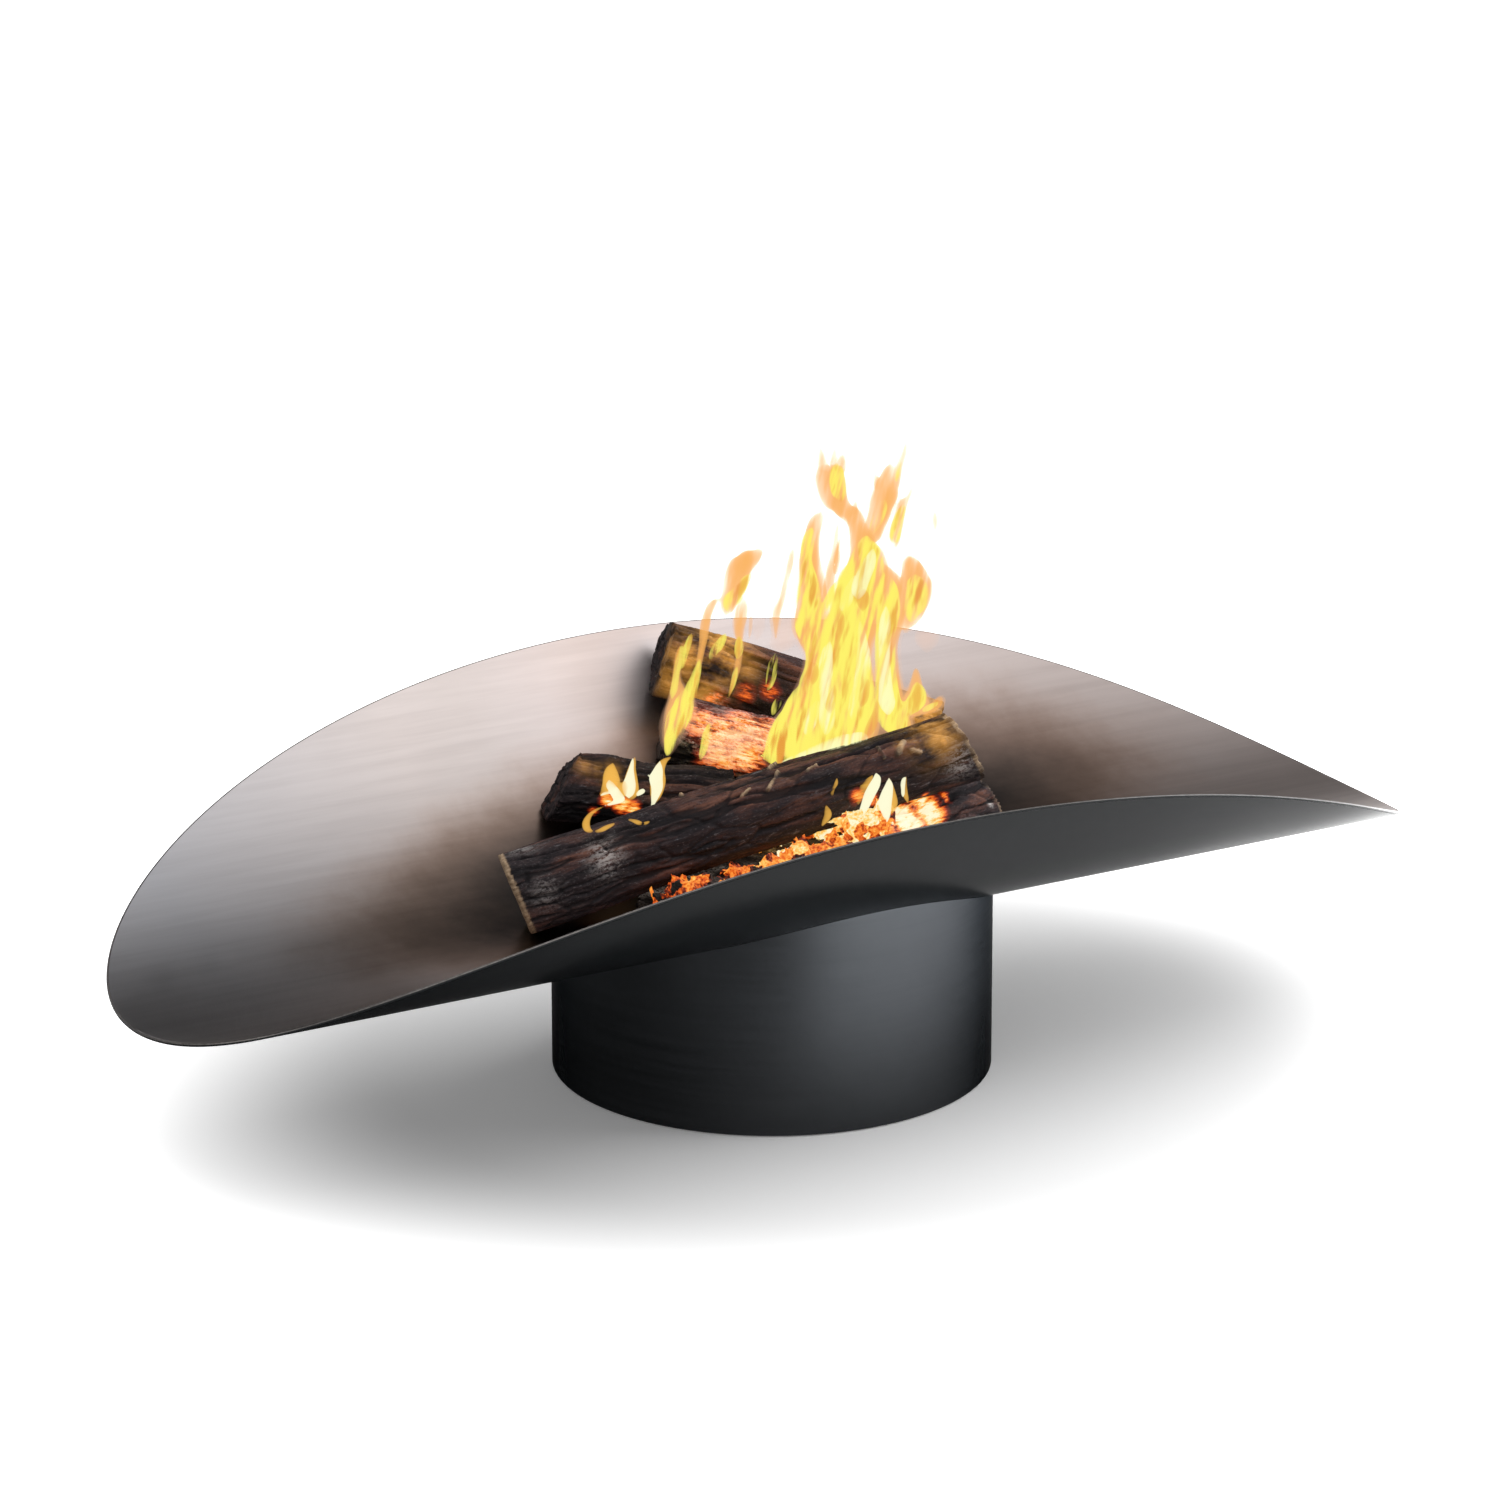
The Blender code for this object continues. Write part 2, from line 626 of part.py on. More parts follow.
def largest_group(lumps):
    """The most lumps that hang together, each running into another."""
    left = list(range(len(lumps)))
    best = []
    while left:
        group = [left.pop(0)]
        for member in group:
            near = [other for other in left if meets(lumps[member], [lumps[other]])]
            left = [other for other in left if other not in near]
            group += near
        best = max(best, group, key=len)
    return [lumps[member] for member in sorted(best)]


def lay_embers(name, ground, logs, surface):
    """Heaps lumps of charcoal in layers, clear of the logs, and joins those that run into each other."""
    dice = random.Random(name)
    spacing = EMBER_RADIUS * EMBER_SPACING_SHARE
    jitter = EMBER_RADIUS * EMBER_JITTER_SHARE
    lumps = []
    for layer, rows in enumerate(EMBER_ROWS[name]):
        for first_x, last_x, row_y in rows:
            for place in range(int((last_x - first_x) / spacing)):
                x = first_x + place * spacing + dice.uniform(-jitter, jitter)
                lump = lump_bmesh(x, row_y + dice.uniform(-jitter, jitter), dice)
                points = [vertex.co.copy() for vertex in lump.verts]
                faces = [tuple(vertex.index for vertex in face.verts) for face in lump.faces]
                lump.free()
                rise = rest_height(points, faces, Matrix(), ground) + layer * EMBER_RADIUS * EMBER_LAYER_SHARE
                lumps.append(clear_of_logs(points, faces, rise, logs))
    heap = [points for points, _ in largest_group([lump for lump in lumps if lump])]
    first = add_object(f"{name}_first", lumps_mesh(f"{name}_first", heap[:1], faces, surface))
    combine(first, add_object(f"{name}_rest", lumps_mesh(f"{name}_rest", heap[1:], faces, surface)), "UNION")
    made = add_object(name, add_mesh(name, outer_shell(first), surface, 20.0))
    bpy.data.objects.remove(first.modifiers[0].object, do_unlink=True)
    bpy.data.objects.remove(first, do_unlink=True)
    return made


def outer_shell(made):
    """An object with its modifiers applied, without the shells of gaps that are shut in inside it."""
    bpy.context.view_layer.update()
    bm = bmesh.new()
    bm.from_object(made, bpy.context.evaluated_depsgraph_get())
    left = set(bm.verts)
    shells = []
    while left:
        shell = [left.pop()]
        for vertex in shell:
            near = {edge.other_vert(vertex) for edge in vertex.link_edges} & left
            left -= near
            shell += near
        shells.append(shell)
    shells.sort(key=lambda shell: min(vertex.co.z for vertex in shell))
    inner = [vertex for shell in shells[1:] for vertex in shell]
    bmesh.ops.delete(bm, geom=inner, context="VERTS")
    return bm


def lumps_mesh(name, lumps, faces, surface):
    """Lumps that all have the same faces, each with its own points."""
    bm = bmesh.new()
    for points in lumps:
        vertices = [bm.verts.new(point) for point in points]
        for face in faces:
            bm.faces.new([vertices[index] for index in face])
    return add_mesh(name, bm, surface, 20.0)


def build_fire(bowl, char, ash, ember):
    """The ash, logs and embers, each laid on what is already there."""
    bed = build_ash_bed(ash)
    ground = [world_solid(bowl), world_solid(bed)]
    laid = [bed]
    logs = []
    for name in LOG_SIZES:
        if name == "inner_log":
            for heap in EMBER_ROWS:
                laid.append(lay_embers(heap, ground, logs, ember))
                logs.append(world_solid(laid[-1]))
        laid.append(lay_log(name, ground + logs, char))
        logs.append(world_solid(laid[-1]))
    return laid


def build():
    clear_scene()
    bare_steel = material("bare_steel", (0.46, 0.44, 0.42), 0.36, 1.0)
    black_steel = material("black_steel", (0.035, 0.038, 0.042), 0.42, 0.6)
    zinc = material("zinc_steel", (0.62, 0.63, 0.65), 0.35, 1.0)
    rubber = material("black_rubber", (0.02, 0.02, 0.02), 0.8, 0.0)
    char = material("charred_wood", (0.055, 0.043, 0.036), 0.85, 0.0)
    ash = material("ash", (0.30, 0.28, 0.26), 0.95, 0.0)
    ember = material("ember", (0.75, 0.22, 0.05), 0.9, 0.0)

    build_drum(black_steel)
    build_base_ring(black_steel)
    build_nuts(zinc)
    build_heat_shield(bare_steel, zinc)
    for number, degrees in enumerate(FOOT_DEGREES, 1):
        build_foot(number, degrees, zinc, rubber)

    lift = add_object("bowl_lift_axis", None, (0.0, 0.0, BOWL_HEIGHT))
    bowl = build_bowl(bare_steel)
    lugs = [build_lug(number, degrees, bare_steel) for number, degrees in enumerate(LUG_DEGREES, 1)]
    for piece in (bowl, *lugs, *build_fire(bowl, char, ash, ember)):
        parent_in_place(piece, lift)


build()
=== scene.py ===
"""The looks of the fire bowl: steel, charred logs, embers and flames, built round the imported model."""

import math
import random

import bmesh
import bpy
import numpy as np
from mathutils import Matrix, Vector
from mathutils.bvhtree import BVHTree
from mathutils.kdtree import KDTree


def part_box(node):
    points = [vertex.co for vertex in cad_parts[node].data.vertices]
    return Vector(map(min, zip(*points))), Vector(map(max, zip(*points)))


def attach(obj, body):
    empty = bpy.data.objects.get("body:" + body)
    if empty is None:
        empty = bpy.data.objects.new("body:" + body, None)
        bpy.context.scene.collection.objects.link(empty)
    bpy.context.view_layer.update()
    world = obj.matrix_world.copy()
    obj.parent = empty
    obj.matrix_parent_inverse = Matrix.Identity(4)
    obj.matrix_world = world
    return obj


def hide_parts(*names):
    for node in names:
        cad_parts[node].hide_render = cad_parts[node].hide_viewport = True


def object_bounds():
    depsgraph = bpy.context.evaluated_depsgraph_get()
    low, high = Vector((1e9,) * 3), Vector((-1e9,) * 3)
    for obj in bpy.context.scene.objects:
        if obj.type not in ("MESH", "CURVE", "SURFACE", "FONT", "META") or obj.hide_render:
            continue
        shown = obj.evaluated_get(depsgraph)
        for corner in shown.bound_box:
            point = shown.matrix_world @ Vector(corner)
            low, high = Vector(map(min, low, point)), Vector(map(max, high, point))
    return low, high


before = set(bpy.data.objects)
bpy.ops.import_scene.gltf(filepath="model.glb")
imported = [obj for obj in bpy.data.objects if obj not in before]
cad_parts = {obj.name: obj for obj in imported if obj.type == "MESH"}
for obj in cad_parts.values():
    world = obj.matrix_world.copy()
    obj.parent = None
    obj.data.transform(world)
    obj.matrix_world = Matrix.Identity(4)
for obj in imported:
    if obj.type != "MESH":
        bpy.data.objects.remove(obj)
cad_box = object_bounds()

WHITE = (1.0, 1.0, 1.0, 1.0)

# The camera, fitted to the photograph: image size and focal length in pixels, sensor width in millimetres,
# distance, direction, and the place it looks at with the pixel that shows it.
IMAGE = 1500
FOCAL = 7392.3249
SENSOR = 36.0
CAMERA_DISTANCE = 8.3555
CAMERA_AZIMUTH = 0.53
CAMERA_ELEVATION = 0.3387
LOOKED_AT = Vector((0.0, 0.0, 0.2))
LOOKED_AT_PIXEL = (771.7136, 891.7294)

# The bowl's sizes, as in the part, and how finely its mesh is cut.
BLANK_LENGTH = 1.600
BLANK_WIDTH = 0.940
SHEET = 0.004
BEND_RADIUS = 0.470
BOWL_HEIGHT = 0.185
BEND_CENTRE_Z = BOWL_HEIGHT + BEND_RADIUS
RIM_RADIUS = 0.0008
BOWL_SEGMENTS = 360
BOWL_RINGS = 40
BOWL_LAST_RING = 1.0 - 0.0018

# How brightly the room lights the object and how steel reflects it, and how the floor turns white.
ROOM_LIGHT = 0.40
ROOM_DARK = 0.05
ROOM_BRIGHT = 1.22
ROOM_BRIGHTEST = 0.92
ROOM_HORIZON = 0.15
ROOM_BRIGHT_SIDE = (0.303, -0.808, 0.505)
FLOOR_SIZE = 60.0
FLOOR_LIT = 0.80
FLOOR_GLOW = 0.12
FLOOR_MIDDLE = (0.05, 0.0, 0.0)
FLOOR_FADE = (0.48, 1.0)
FLOOR_MIRRORED_FADE = (0.76, 1.02)
FLOOR_FLAG = (-0.50, 0.10)
FLOOR_FLAGGED = 0.10
FLOOR_MIRRORED = 0.74

# Each lamp's name, place, target, width, height and power.
LAMPS = (
    ("overhead", (0.0, 0.0, 3.4), (0.0, 0.0, 0.0), 5.0, 5.0, 76.0),
    ("side_softbox", (3.6, -0.2, 2.0), (0.0, 0.0, 0.2), 5.5, 3.8, 190.0),
)

# Where the fire has stained the steel, partly soot and heat tint and partly painted shade round the logs: the
# middle of the stains, how much faster they fade across the bowl than along it, and where each begins and
# ends with the share of red, green and blue that it leaves.
SOOT_AND_SHADE_MIDDLE = (0.0453, 0.1224, 0.20)
SOOT_AND_SHADE_ACROSS = (-0.212, 2.9625, 0.0)
HEAT_TINT_AND_SHADE = (0.443, 0.668, (0.743, 0.588, 0.490))
SOOT_AND_SHADE_STAIN = (0.247, 0.610, (0.030, 0.059, 0.086))
CHAR_AND_SHADE_MIDDLE = (-0.02, 0.02, 0.20)
CHAR_AND_SHADE_ACROSS = (0.0, 2.6, 0.0)
CHAR_AND_SHADE_STAIN = (0.20, 0.34, (0.22, 0.22, 0.30))
# The low stain is painted shade: towards the left end, the lower the steel lies, the darker it is.
LOW_PAINTED_SHADE = (-0.349, 0.251, (0.142, 0.078, 0.030))

# The logs, the size of their net of quads, and how far their uncut surface stands proud of the CAD's.
LOGS = ("bottom_log", "left_log", "front_log", "inner_log", "back_log")
LOG_VOXEL = 0.0018
LOG_SWELL = 0.0042
BOX_GAP = 0.0002

# The shards of charcoal and the crumbs in the ash: their net, spacing and sizes.
EMBER_VOXEL = 0.0012
EMBER_SPACING = 0.0120
EMBER_HALF_LENGTHS = (0.007, 0.0165)
EMBER_WIDTHS = (0.35, 0.6)
EMBER_THICKNESSES = (0.22, 0.38)
EMBER_SINK = 0.45
EMBER_RELIEF = 0.0012
EMBERS_ALONG = np.array([0.94, 0.34, 0.0])
EMBER_HEAT_STEPS = (-0.45, -0.25, -0.10, 0.0, 0.05, 0.15, 0.30)
ASH_VOXEL = 0.0018
ASH_CRUMB_SPACING = 0.009
ASH_CRUMB_HALF_LENGTHS = (0.0015, 0.006)

# How far a log's ends are burnt back, and how pale they still are.
LOG_WORN_ENDS = {
    "bottom_log": 0.004, "left_log": 0.014, "front_log": 0.002, "inner_log": 0.010, "back_log": 0.011,
}
LOG_PALE_ENDS = {"bottom_log": 0.3, "left_log": 0.0, "front_log": 0.85, "inner_log": 0.1, "back_log": 0.0}

# Marks on the logs, as pixels of the photograph, a radius in pixels and a strength. A splinter has the pixels
# of its two ends and half its width.
FIRELIGHT = 0.62
LOG_MARKS = ("glow", "golden", "ash", "brown", "end", "crack")
LOG_GLOW = {
    "inner_log": ((700, 722, 24, 0.58), (722, 735, 28, 0.68), (745, 728, 28, 0.68), (768, 735, 26, 0.7),
        (720, 758, 24, 0.78), (748, 752, 22, 0.84), (735, 708, 18, 0.56), (705, 700, 16, 0.46)),
    "back_log": ((715, 700, 14, 0.46), (745, 692, 12, 0.46), (770, 690, 12, 0.44), (664, 725, 10, 0.46)),
    "bottom_log": ((905, 818, 28, 1.4), (930, 812, 24, 1.3), (885, 825, 24, 1.3), (945, 797, 8, 0.62)),
    "left_log": ((608, 800, 9, 0.8), (594, 812, 7, 0.55), (622, 805, 10, 0.92), (632, 810, 9, 0.85),
        (645, 814, 6, 0.6), (612, 786, 7, 0.7)),
    "front_log": ((700, 779, 8, 0.58), (725, 772, 8, 0.66), (752, 765, 8, 0.66), (872, 733, 7, 0.5),
        (858, 796, 9, 0.6), (870, 800, 9, 0.66), (882, 802, 9, 0.62), (925, 795, 5, 0.5)),
}
# Patches of painted firelight on the logs: a golden colour with a glow of its own, where the flames would
# light them.
LOG_PAINTED_FIRELIGHT = {
    "back_log": ((724, 650, 28, 1.0), (690, 655, 24, 0.9), (672, 680, 20, 0.6), (700, 690, 20, 0.7),
        (745, 668, 14, 0.5), (925, 712, 26, 1.0)),
    "front_log": ((935, 733, 24, 0.65), (912, 742, 12, 0.5), (943, 742, 5, 1.0), (900, 745, 5, 0.9)),
    "left_log": ((585, 765, 9, 0.35), (600, 768, 8, 0.4), (612, 772, 10, 0.7)),
}
LOG_SPLINTERS = {
    "front_log": ((768, 790, 778, 773, 1.6), (769, 770, 776, 765, 1.5), (669, 772, 675, 780, 1.6),
        (676, 784, 682, 797, 1.6), (877, 748, 884, 758, 1.3), (897, 754, 903, 743, 2.6),
        (911, 750, 920, 752, 2.0), (942, 744, 945, 742, 2.6), (741, 797, 749, 790, 1.0),
        (806, 772, 816, 766, 1.1), (690, 789, 699, 784, 1.0)),
}
LOG_BROWN = {
    "front_log": ((690, 800, 34, 0.8), (740, 785, 36, 1.0), (790, 772, 36, 1.0), (850, 757, 32, 0.9),
        (900, 750, 24, 0.7), (800, 815, 26, 0.5)),
    "back_log": ((740, 670, 40, 1.0), (790, 680, 40, 0.8)),
    "left_log": ((585, 775, 22, 0.8), (640, 790, 30, 0.6)),
    "bottom_log": ((975, 790, 24, 1.0),),
}
LOG_ASH = {
    "front_log": ((606, 857, 15, 0.8), (545, 893, 14, 0.35), (978, 742, 16, 1.0), (962, 762, 16, 0.7),
        (520, 850, 16, 0.35), (505, 846, 8, 0.6)),
    "inner_log": ((715, 740, 34, 1.0), (750, 735, 34, 1.0), (735, 760, 26, 1.0)),
    "bottom_log": ((990, 804, 4, 1.0), (905, 815, 30, 0.8)),
    "back_log": ((715, 700, 12, 0.7),),
}

# The flames, tongue by tongue: the route upwards or downwards as pixels of the photograph, each with half the
# tongue's width there. A tongue that stands on something begins with the pixel that it stands on.
FLAME_CENTRE = (0.10, 0.13, 0.30)
FLAME_DEPTH = 0.026
FLAME_SPREAD = 0.012
FLAME_LEAN = 0.22
FLAME_VOXEL = 0.0022
FINE_VOXEL = 0.0011
PIXEL = 0.00113
ORANGE_FLAMES = (
    ((824, 474, 6), (822, 462, 4), (821, 454, 2.5), (820, 447, 1)),
    ((833, 470, 7), (833, 459, 4), (834, 452, 2.5), (835, 446, 1)),
    ((841, 472, 5), (842, 462, 3.5), (843, 455, 1.5)),
    ((879, 492, 5), (876, 480, 3.5), (873, 470, 1)),
    ((851, 517, 5), (855, 506, 3), (856, 497, 1)),
    ((822, 470, 1), (830, 468, 11), (830, 478, 14), (832, 492, 14), (838, 505, 13), (848, 513, 12),
     (856, 525, 9), (862, 540, 12), (866, 555, 17), (866, 575, 23), (862, 600, 26), (852, 625, 27),
     (845, 650, 26), (842, 680, 31), (838, 710, 38), (828, 735, 46), (815, 760, 40)),
    ((822, 508, 6), (815, 525, 8), (810, 542, 9), (809, 560, 11), (811, 580, 13), (812, 605, 16),
     (812, 630, 17), (815, 655, 9), (811, 680, 9), (803, 705, 14), (792, 730, 19), (785, 755, 20)),
    ((868, 548, 9), (874, 530, 10), (880, 512, 12), (885, 497, 14), (887, 483, 11), (889, 470, 6),
     (890, 462, 2)),
    ((890, 495, 8), (896, 480, 6), (900, 465, 4), (904, 452, 3), (907, 441, 1.5)),
    ((895, 550, 3), (895, 535, 7), (899, 518, 7), (903, 503, 6), (909, 493, 3), (913, 483, 1.5)),
    ((885, 565, 10), (892, 590, 13), (894, 615, 13), (889, 640, 9), (888, 665, 10), (890, 690, 12),
     (894, 715, 14), (900, 740, 14)),
    ((904, 632, 8), (911, 618, 11), (916, 600, 15), (917, 583, 15), (914, 568, 11), (908, 556, 6)),
    ((726, 616, 3), (729, 604, 8), (733, 590, 10), (738, 575, 12), (744, 562, 14), (751, 553, 10),
     (757, 549, 5)),
    ((722, 597, 3), (715, 600, 5), (709, 611, 5), (705, 625, 4), (702, 645, 2.5), (698, 668, 2.5),
     (694, 692, 2)),
    ((744, 598, 4), (741, 615, 6), (739, 632, 5), (740, 648, 3), (737, 668, 3), (729, 698, 2)),
    ((776, 640, 2), (776, 625, 4), (778, 609, 6), (783, 594, 5), (787, 577, 4), (791, 560, 3),
     (794, 546, 1.5)),
    ((754, 600, 1.5), (757, 585, 2), (760, 570, 1)),
    ((749, 640, 1.5), (751, 620, 2), (752, 605, 1)),
    ((838, 520, 3), (836, 545, 3), (830, 575, 4), (826, 600, 5)),
    ((843, 528, 2), (839, 550, 3), (835, 575, 4)),
    ((913, 715, 17), (914, 700, 14), (915, 688, 7), (916, 678, 4), (916, 668, 2)),
    ((925, 714, 8), (934, 707, 8), (940, 700, 5), (942, 695, 2)),
    ((935, 535, 2), (935, 521, 3), (935, 509, 1)),
    ((678, 752), (668, 757, 1), (671, 743, 7), (676, 727, 12), (680, 712, 13), (681, 699, 10),
     (677, 680, 4), (678, 660, 3), (680, 645, 2)),
)
YELLOW_FLAMES = (
    ((836, 462, 4), (836, 475, 7), (837, 490, 7), (841, 502, 4)),
    ((868, 538, 8), (867, 555, 13), (862, 575, 18), (852, 597, 21), (845, 620, 22), (842, 645, 20),
     (843, 670, 23), (838, 700, 30), (830, 725, 38), (815, 748, 42), (800, 765, 36)),
    ((812, 528, 4), (808, 545, 6), (806, 560, 5), (808, 580, 8), (808, 605, 10), (806, 630, 10),
     (813, 650, 6), (812, 672, 6), (803, 695, 10), (792, 720, 14), (782, 745, 15), (778, 765, 10)),
    ((872, 535, 5), (878, 515, 5), (884, 500, 4)),
    ((896, 482, 3), (899, 468, 2.5), (901, 458, 1.5)),
    ((895, 543, 3), (896, 530, 4), (900, 515, 4), (904, 503, 2.5)),
    ((883, 575, 9), (887, 595, 10), (888, 620, 10), (886, 645, 8), (887, 670, 8), (889, 695, 10),
     (893, 715, 12), (898, 735, 12)),
    ((911, 622, 6), (916, 605, 9), (918, 588, 9), (915, 574, 6)),
    ((728, 612, 3), (731, 602, 6), (737, 592, 7), (745, 582, 5), (752, 572, 2.5)),
    ((678, 752), (667, 755, 1.2), (670, 744, 4), (675, 730, 8), (680, 716, 10), (684, 704, 9),
     (689, 693, 6), (694, 681, 3.5), (698, 668, 2.2), (700, 658, 1)),
    ((678, 752), (672, 700, 3), (674, 685, 3), (676, 668, 3), (679, 652, 2.5), (681, 645, 1)),
    ((693, 702, 3), (695, 688, 3.5), (698, 672, 3), (700, 657, 1.5)),
    ((678, 752), (682, 668, 1), (685, 655, 2), (689, 642, 2.5), (692, 632, 1)),
    ((710, 660, 1), (716, 650, 4), (722, 640, 4), (726, 632, 1.5)),
    ((737, 660, 1.5), (739, 648, 3.5), (739, 636, 2.5)),
    ((727, 700, 1.5), (732, 685, 2.5), (737, 667, 1.5)),
    ((767, 692, 2), (770, 680, 4), (773, 665, 4), (776, 652, 2)),
    ((700, 760, 1.5), (704, 748, 3), (707, 735, 3), (710, 723, 1.5)),
    ((772, 716, 2), (776, 705, 3), (779, 696, 1.5)),
    ((908, 716, 7), (914, 704, 9), (918, 692, 6), (917, 680, 2)),
    ((924, 712, 5), (932, 706, 5), (939, 700, 3)),
)
PALE_FLAMES = (
    ((784, 768, 9), (802, 762, 15), (824, 753, 17), (845, 742, 15), (862, 733, 9)),
    ((826, 735, 8), (827, 705, 6), (826, 680, 6), (827, 655, 5), (830, 640, 2)),
    ((852, 720, 6), (858, 690, 6), (863, 660, 6), (862, 640, 4), (860, 620, 2)),
    ((888, 715, 8), (886, 690, 6), (885, 660, 5), (885, 630, 5), (886, 605, 3)),
    ((858, 600, 5), (860, 585, 7), (868, 565, 6), (873, 548, 3)),
    ((842, 612, 5), (848, 595, 5), (855, 575, 3)),
    ((806, 735, 6), (812, 715, 5), (818, 700, 3)),
)
DEEP_FLAMES = (
    ((830, 714, 3), (830, 704, 6), (833, 693, 4), (835, 684, 1.5)),
    ((861, 708, 3), (864, 698, 5), (867, 687, 3), (868, 677, 1.5)),
    ((845, 690, 2), (847, 675, 3), (850, 660, 3), (853, 645, 1.5)),
    ((834, 657, 2), (837, 642, 3), (841, 626, 4), (843, 612, 2)),
    ((863, 612, 3), (863, 600, 7), (864, 588, 4)),
    ((812, 686, 2), (815, 676, 4), (817, 663, 2)),
    ((866, 738, 4), (872, 725, 6), (876, 710, 3), (877, 698, 1.5)),
)
SMALL_FLAMES = (
    ((631, 797), (629, 798, 2), (629, 792, 6), (629, 785, 7), (630, 778, 5), (631, 770, 3), (632, 764, 2),
     (633, 758, 1)),
    ((655, 800), (651, 812, 1), (653, 804, 2), (655, 797, 4), (657, 788, 6), (656, 778, 7), (658, 770, 5),
     (660, 761, 1)),
    ((655, 800), (647, 776, 1), (652, 775, 4), (657, 778, 5)),
    ((608, 800), (603, 806, 1), (611, 804, 3), (619, 800, 6), (615, 792, 6), (611, 786, 5), (609, 780, 2)),
    ((608, 800), (600, 796, 1), (606, 793, 3), (612, 792, 5)),
    ((640, 797), (637, 796, 2), (641, 792, 4), (643, 789, 2)),
    ((865, 805), (861, 823, 1.5), (863, 812, 4), (866, 804, 5), (870, 794, 6), (874, 786, 6), (877, 778, 4),
     (876, 773, 1)),
    ((888, 812), (887, 822, 2), (886, 812, 5), (885, 803, 7), (887, 793, 6), (889, 785, 4), (889, 778, 1)),
    ((903, 795), (903, 797, 2), (903, 790, 2), (903, 784, 2.5), (904, 779, 2), (906, 777, 1)),
)
GOLDEN_FLAMES = (
    ((608, 800), (601, 797, 2), (606, 792, 6), (611, 784, 9), (611, 775, 8), (611, 768, 5), (613, 763, 1)),
    ((608, 800), (616, 800, 9), (621, 790, 7), (625, 781, 4)),
    ((631, 797), (630, 801, 3), (631, 792, 8), (631, 780, 7), (632, 768, 4), (635, 757, 2)),
    ((655, 800), (652, 806, 2), (656, 795, 6), (658, 782, 8), (659, 770, 6), (664, 761, 4), (671, 757, 2)),
    ((600, 846), (605, 806, 1), (596, 810, 2), (589, 816, 3), (586, 824, 4), (589, 831, 4), (599, 831, 4),
     (607, 827, 4), (615, 823, 2)),
    ((640, 838), (627, 819, 2), (635, 821, 4), (642, 824, 4), (650, 821, 2)),
    ((865, 805), (845, 821, 3), (844, 810, 6), (846, 801, 5), (848, 793, 2)),
    ((865, 805), (857, 806, 3), (860, 794, 5), (866, 784, 5), (873, 775, 2)),
    ((888, 812), (889, 815, 5), (892, 803, 6), (891, 790, 4), (889, 778, 1.5)),
    ((903, 795), (908, 803, 2), (905, 793, 3), (904, 784, 3), (906, 776, 1.5)),
    ((838, 815), (837, 802, 3), (832, 796, 2), (833, 789, 2), (836, 784, 2), (837, 778, 1)),
    ((820, 825), (822, 826, 3), (828, 815, 4), (826, 805, 2)),
)
WISPS = (
    ((883, 417, 3), (885, 398, 6), (886, 376, 4)),
    ((927, 652, 5), (927, 636, 9), (930, 621, 4)),
    ((783, 600, 5), (789, 575, 6), (795, 556, 4)),
    ((905, 580, 9), (904, 558, 8), (909, 540, 4)),
    ((800, 600, 5), (797, 575, 6), (799, 550, 3)),
    ((778, 652, 6), (784, 640, 10), (788, 625, 9), (790, 610, 4)),
    ((757, 640, 5), (760, 615, 4), (764, 590, 3)),
    ((710, 764, 10), (726, 748, 18), (740, 736, 20), (750, 726, 9)),
)

# The tall flames in layers of depth, from a thin peach veil over amber, orange and yellow to a pale heart,
# with burnt and deep orange streaks in front, then the small ones on the logs. Each layer's name, tongues,
# colour, density, depth behind the fire's middle, swell and ripple. Where it is streaked, how much of its
# density there is between and in the streaks, how fine they are, and the noise that parts them.
FLAME_LAYERS = (
    ("flame_veil", ORANGE_FLAMES + WISPS, (0.96, 0.56, 0.36), 9.0, 0.0, 1.5, 0.004),
    ("flame_amber", ORANGE_FLAMES, (0.97, 0.52, 0.20), 26.0, 0.030, 1.30, 0.005, (0.4, 1.3), 130.0),
    ("flame_orange", ORANGE_FLAMES, (0.96, 0.45, 0.09), 95.0, 0.016, 1.06, 0.008, (0.7, 1.3), 70.0),
    ("flame_yellow", YELLOW_FLAMES, (1.0, 0.90, 0.15), 100.0, -0.014, 1.25, 0.008, (0.0, 1.6)),
    ("flame_pale", PALE_FLAMES, (1.0, 1.0, 0.54), 60.0, -0.034, 1.3, 0.003, (0.2, 2.2), 120.0),
    (
        "flame_burnt", YELLOW_FLAMES, (0.80, 0.32, 0.05), 80.0, -0.040, 1.0, 0.005,
        (0.0, 1.0), 70.0, (0.52, 0.64),
    ),
    ("flame_behind", PALE_FLAMES, (1.0, 1.0, 0.54), 60.0, 0.046, 1.3, 0.003, (0.2, 2.2), 120.0),
    ("flame_deep", DEEP_FLAMES, (0.84, 0.34, 0.07), 75.0, -0.046, 1.0, 0.0),
    ("flame_golden", GOLDEN_FLAMES, (0.93, 0.50, 0.09), 150.0, 0.0, 1.0, 0.0),
    ("flame_small", SMALL_FLAMES, (1.0, 0.98, 0.68), 420.0, -0.005, 1.0, 0.0),
)


# Noise for shaping meshes.


def hashed(cells, seed):
    """A number from 0 to 1 for each whole-numbered cell."""
    mixed = cells.astype(np.int64) @ np.array([73856093, 19349663, 83492791]) + seed * 2654435761
    mixed = (mixed ^ (mixed >> 13)) * 1274126177 & 0xFFFFFFFF
    mixed = (mixed ^ (mixed >> 15)) * 2246822519 & 0xFFFFFFFF
    return ((mixed ^ (mixed >> 16)) & 0xFFFFFF) / float(0xFFFFFF)


def smooth_noise(points, seed=0):
    """Smooth noise from 0 to 1 at each point, one cell to a unit."""
    cells = np.floor(points)
    part = points - cells
    part = part * part * (3 - 2 * part)
    total = np.zeros(len(points))
    for corner in np.ndindex(2, 2, 2):
        weight = np.prod(np.where(corner, part, 1 - part), axis=1)
        total += weight * hashed(cells + corner, seed)
    return total


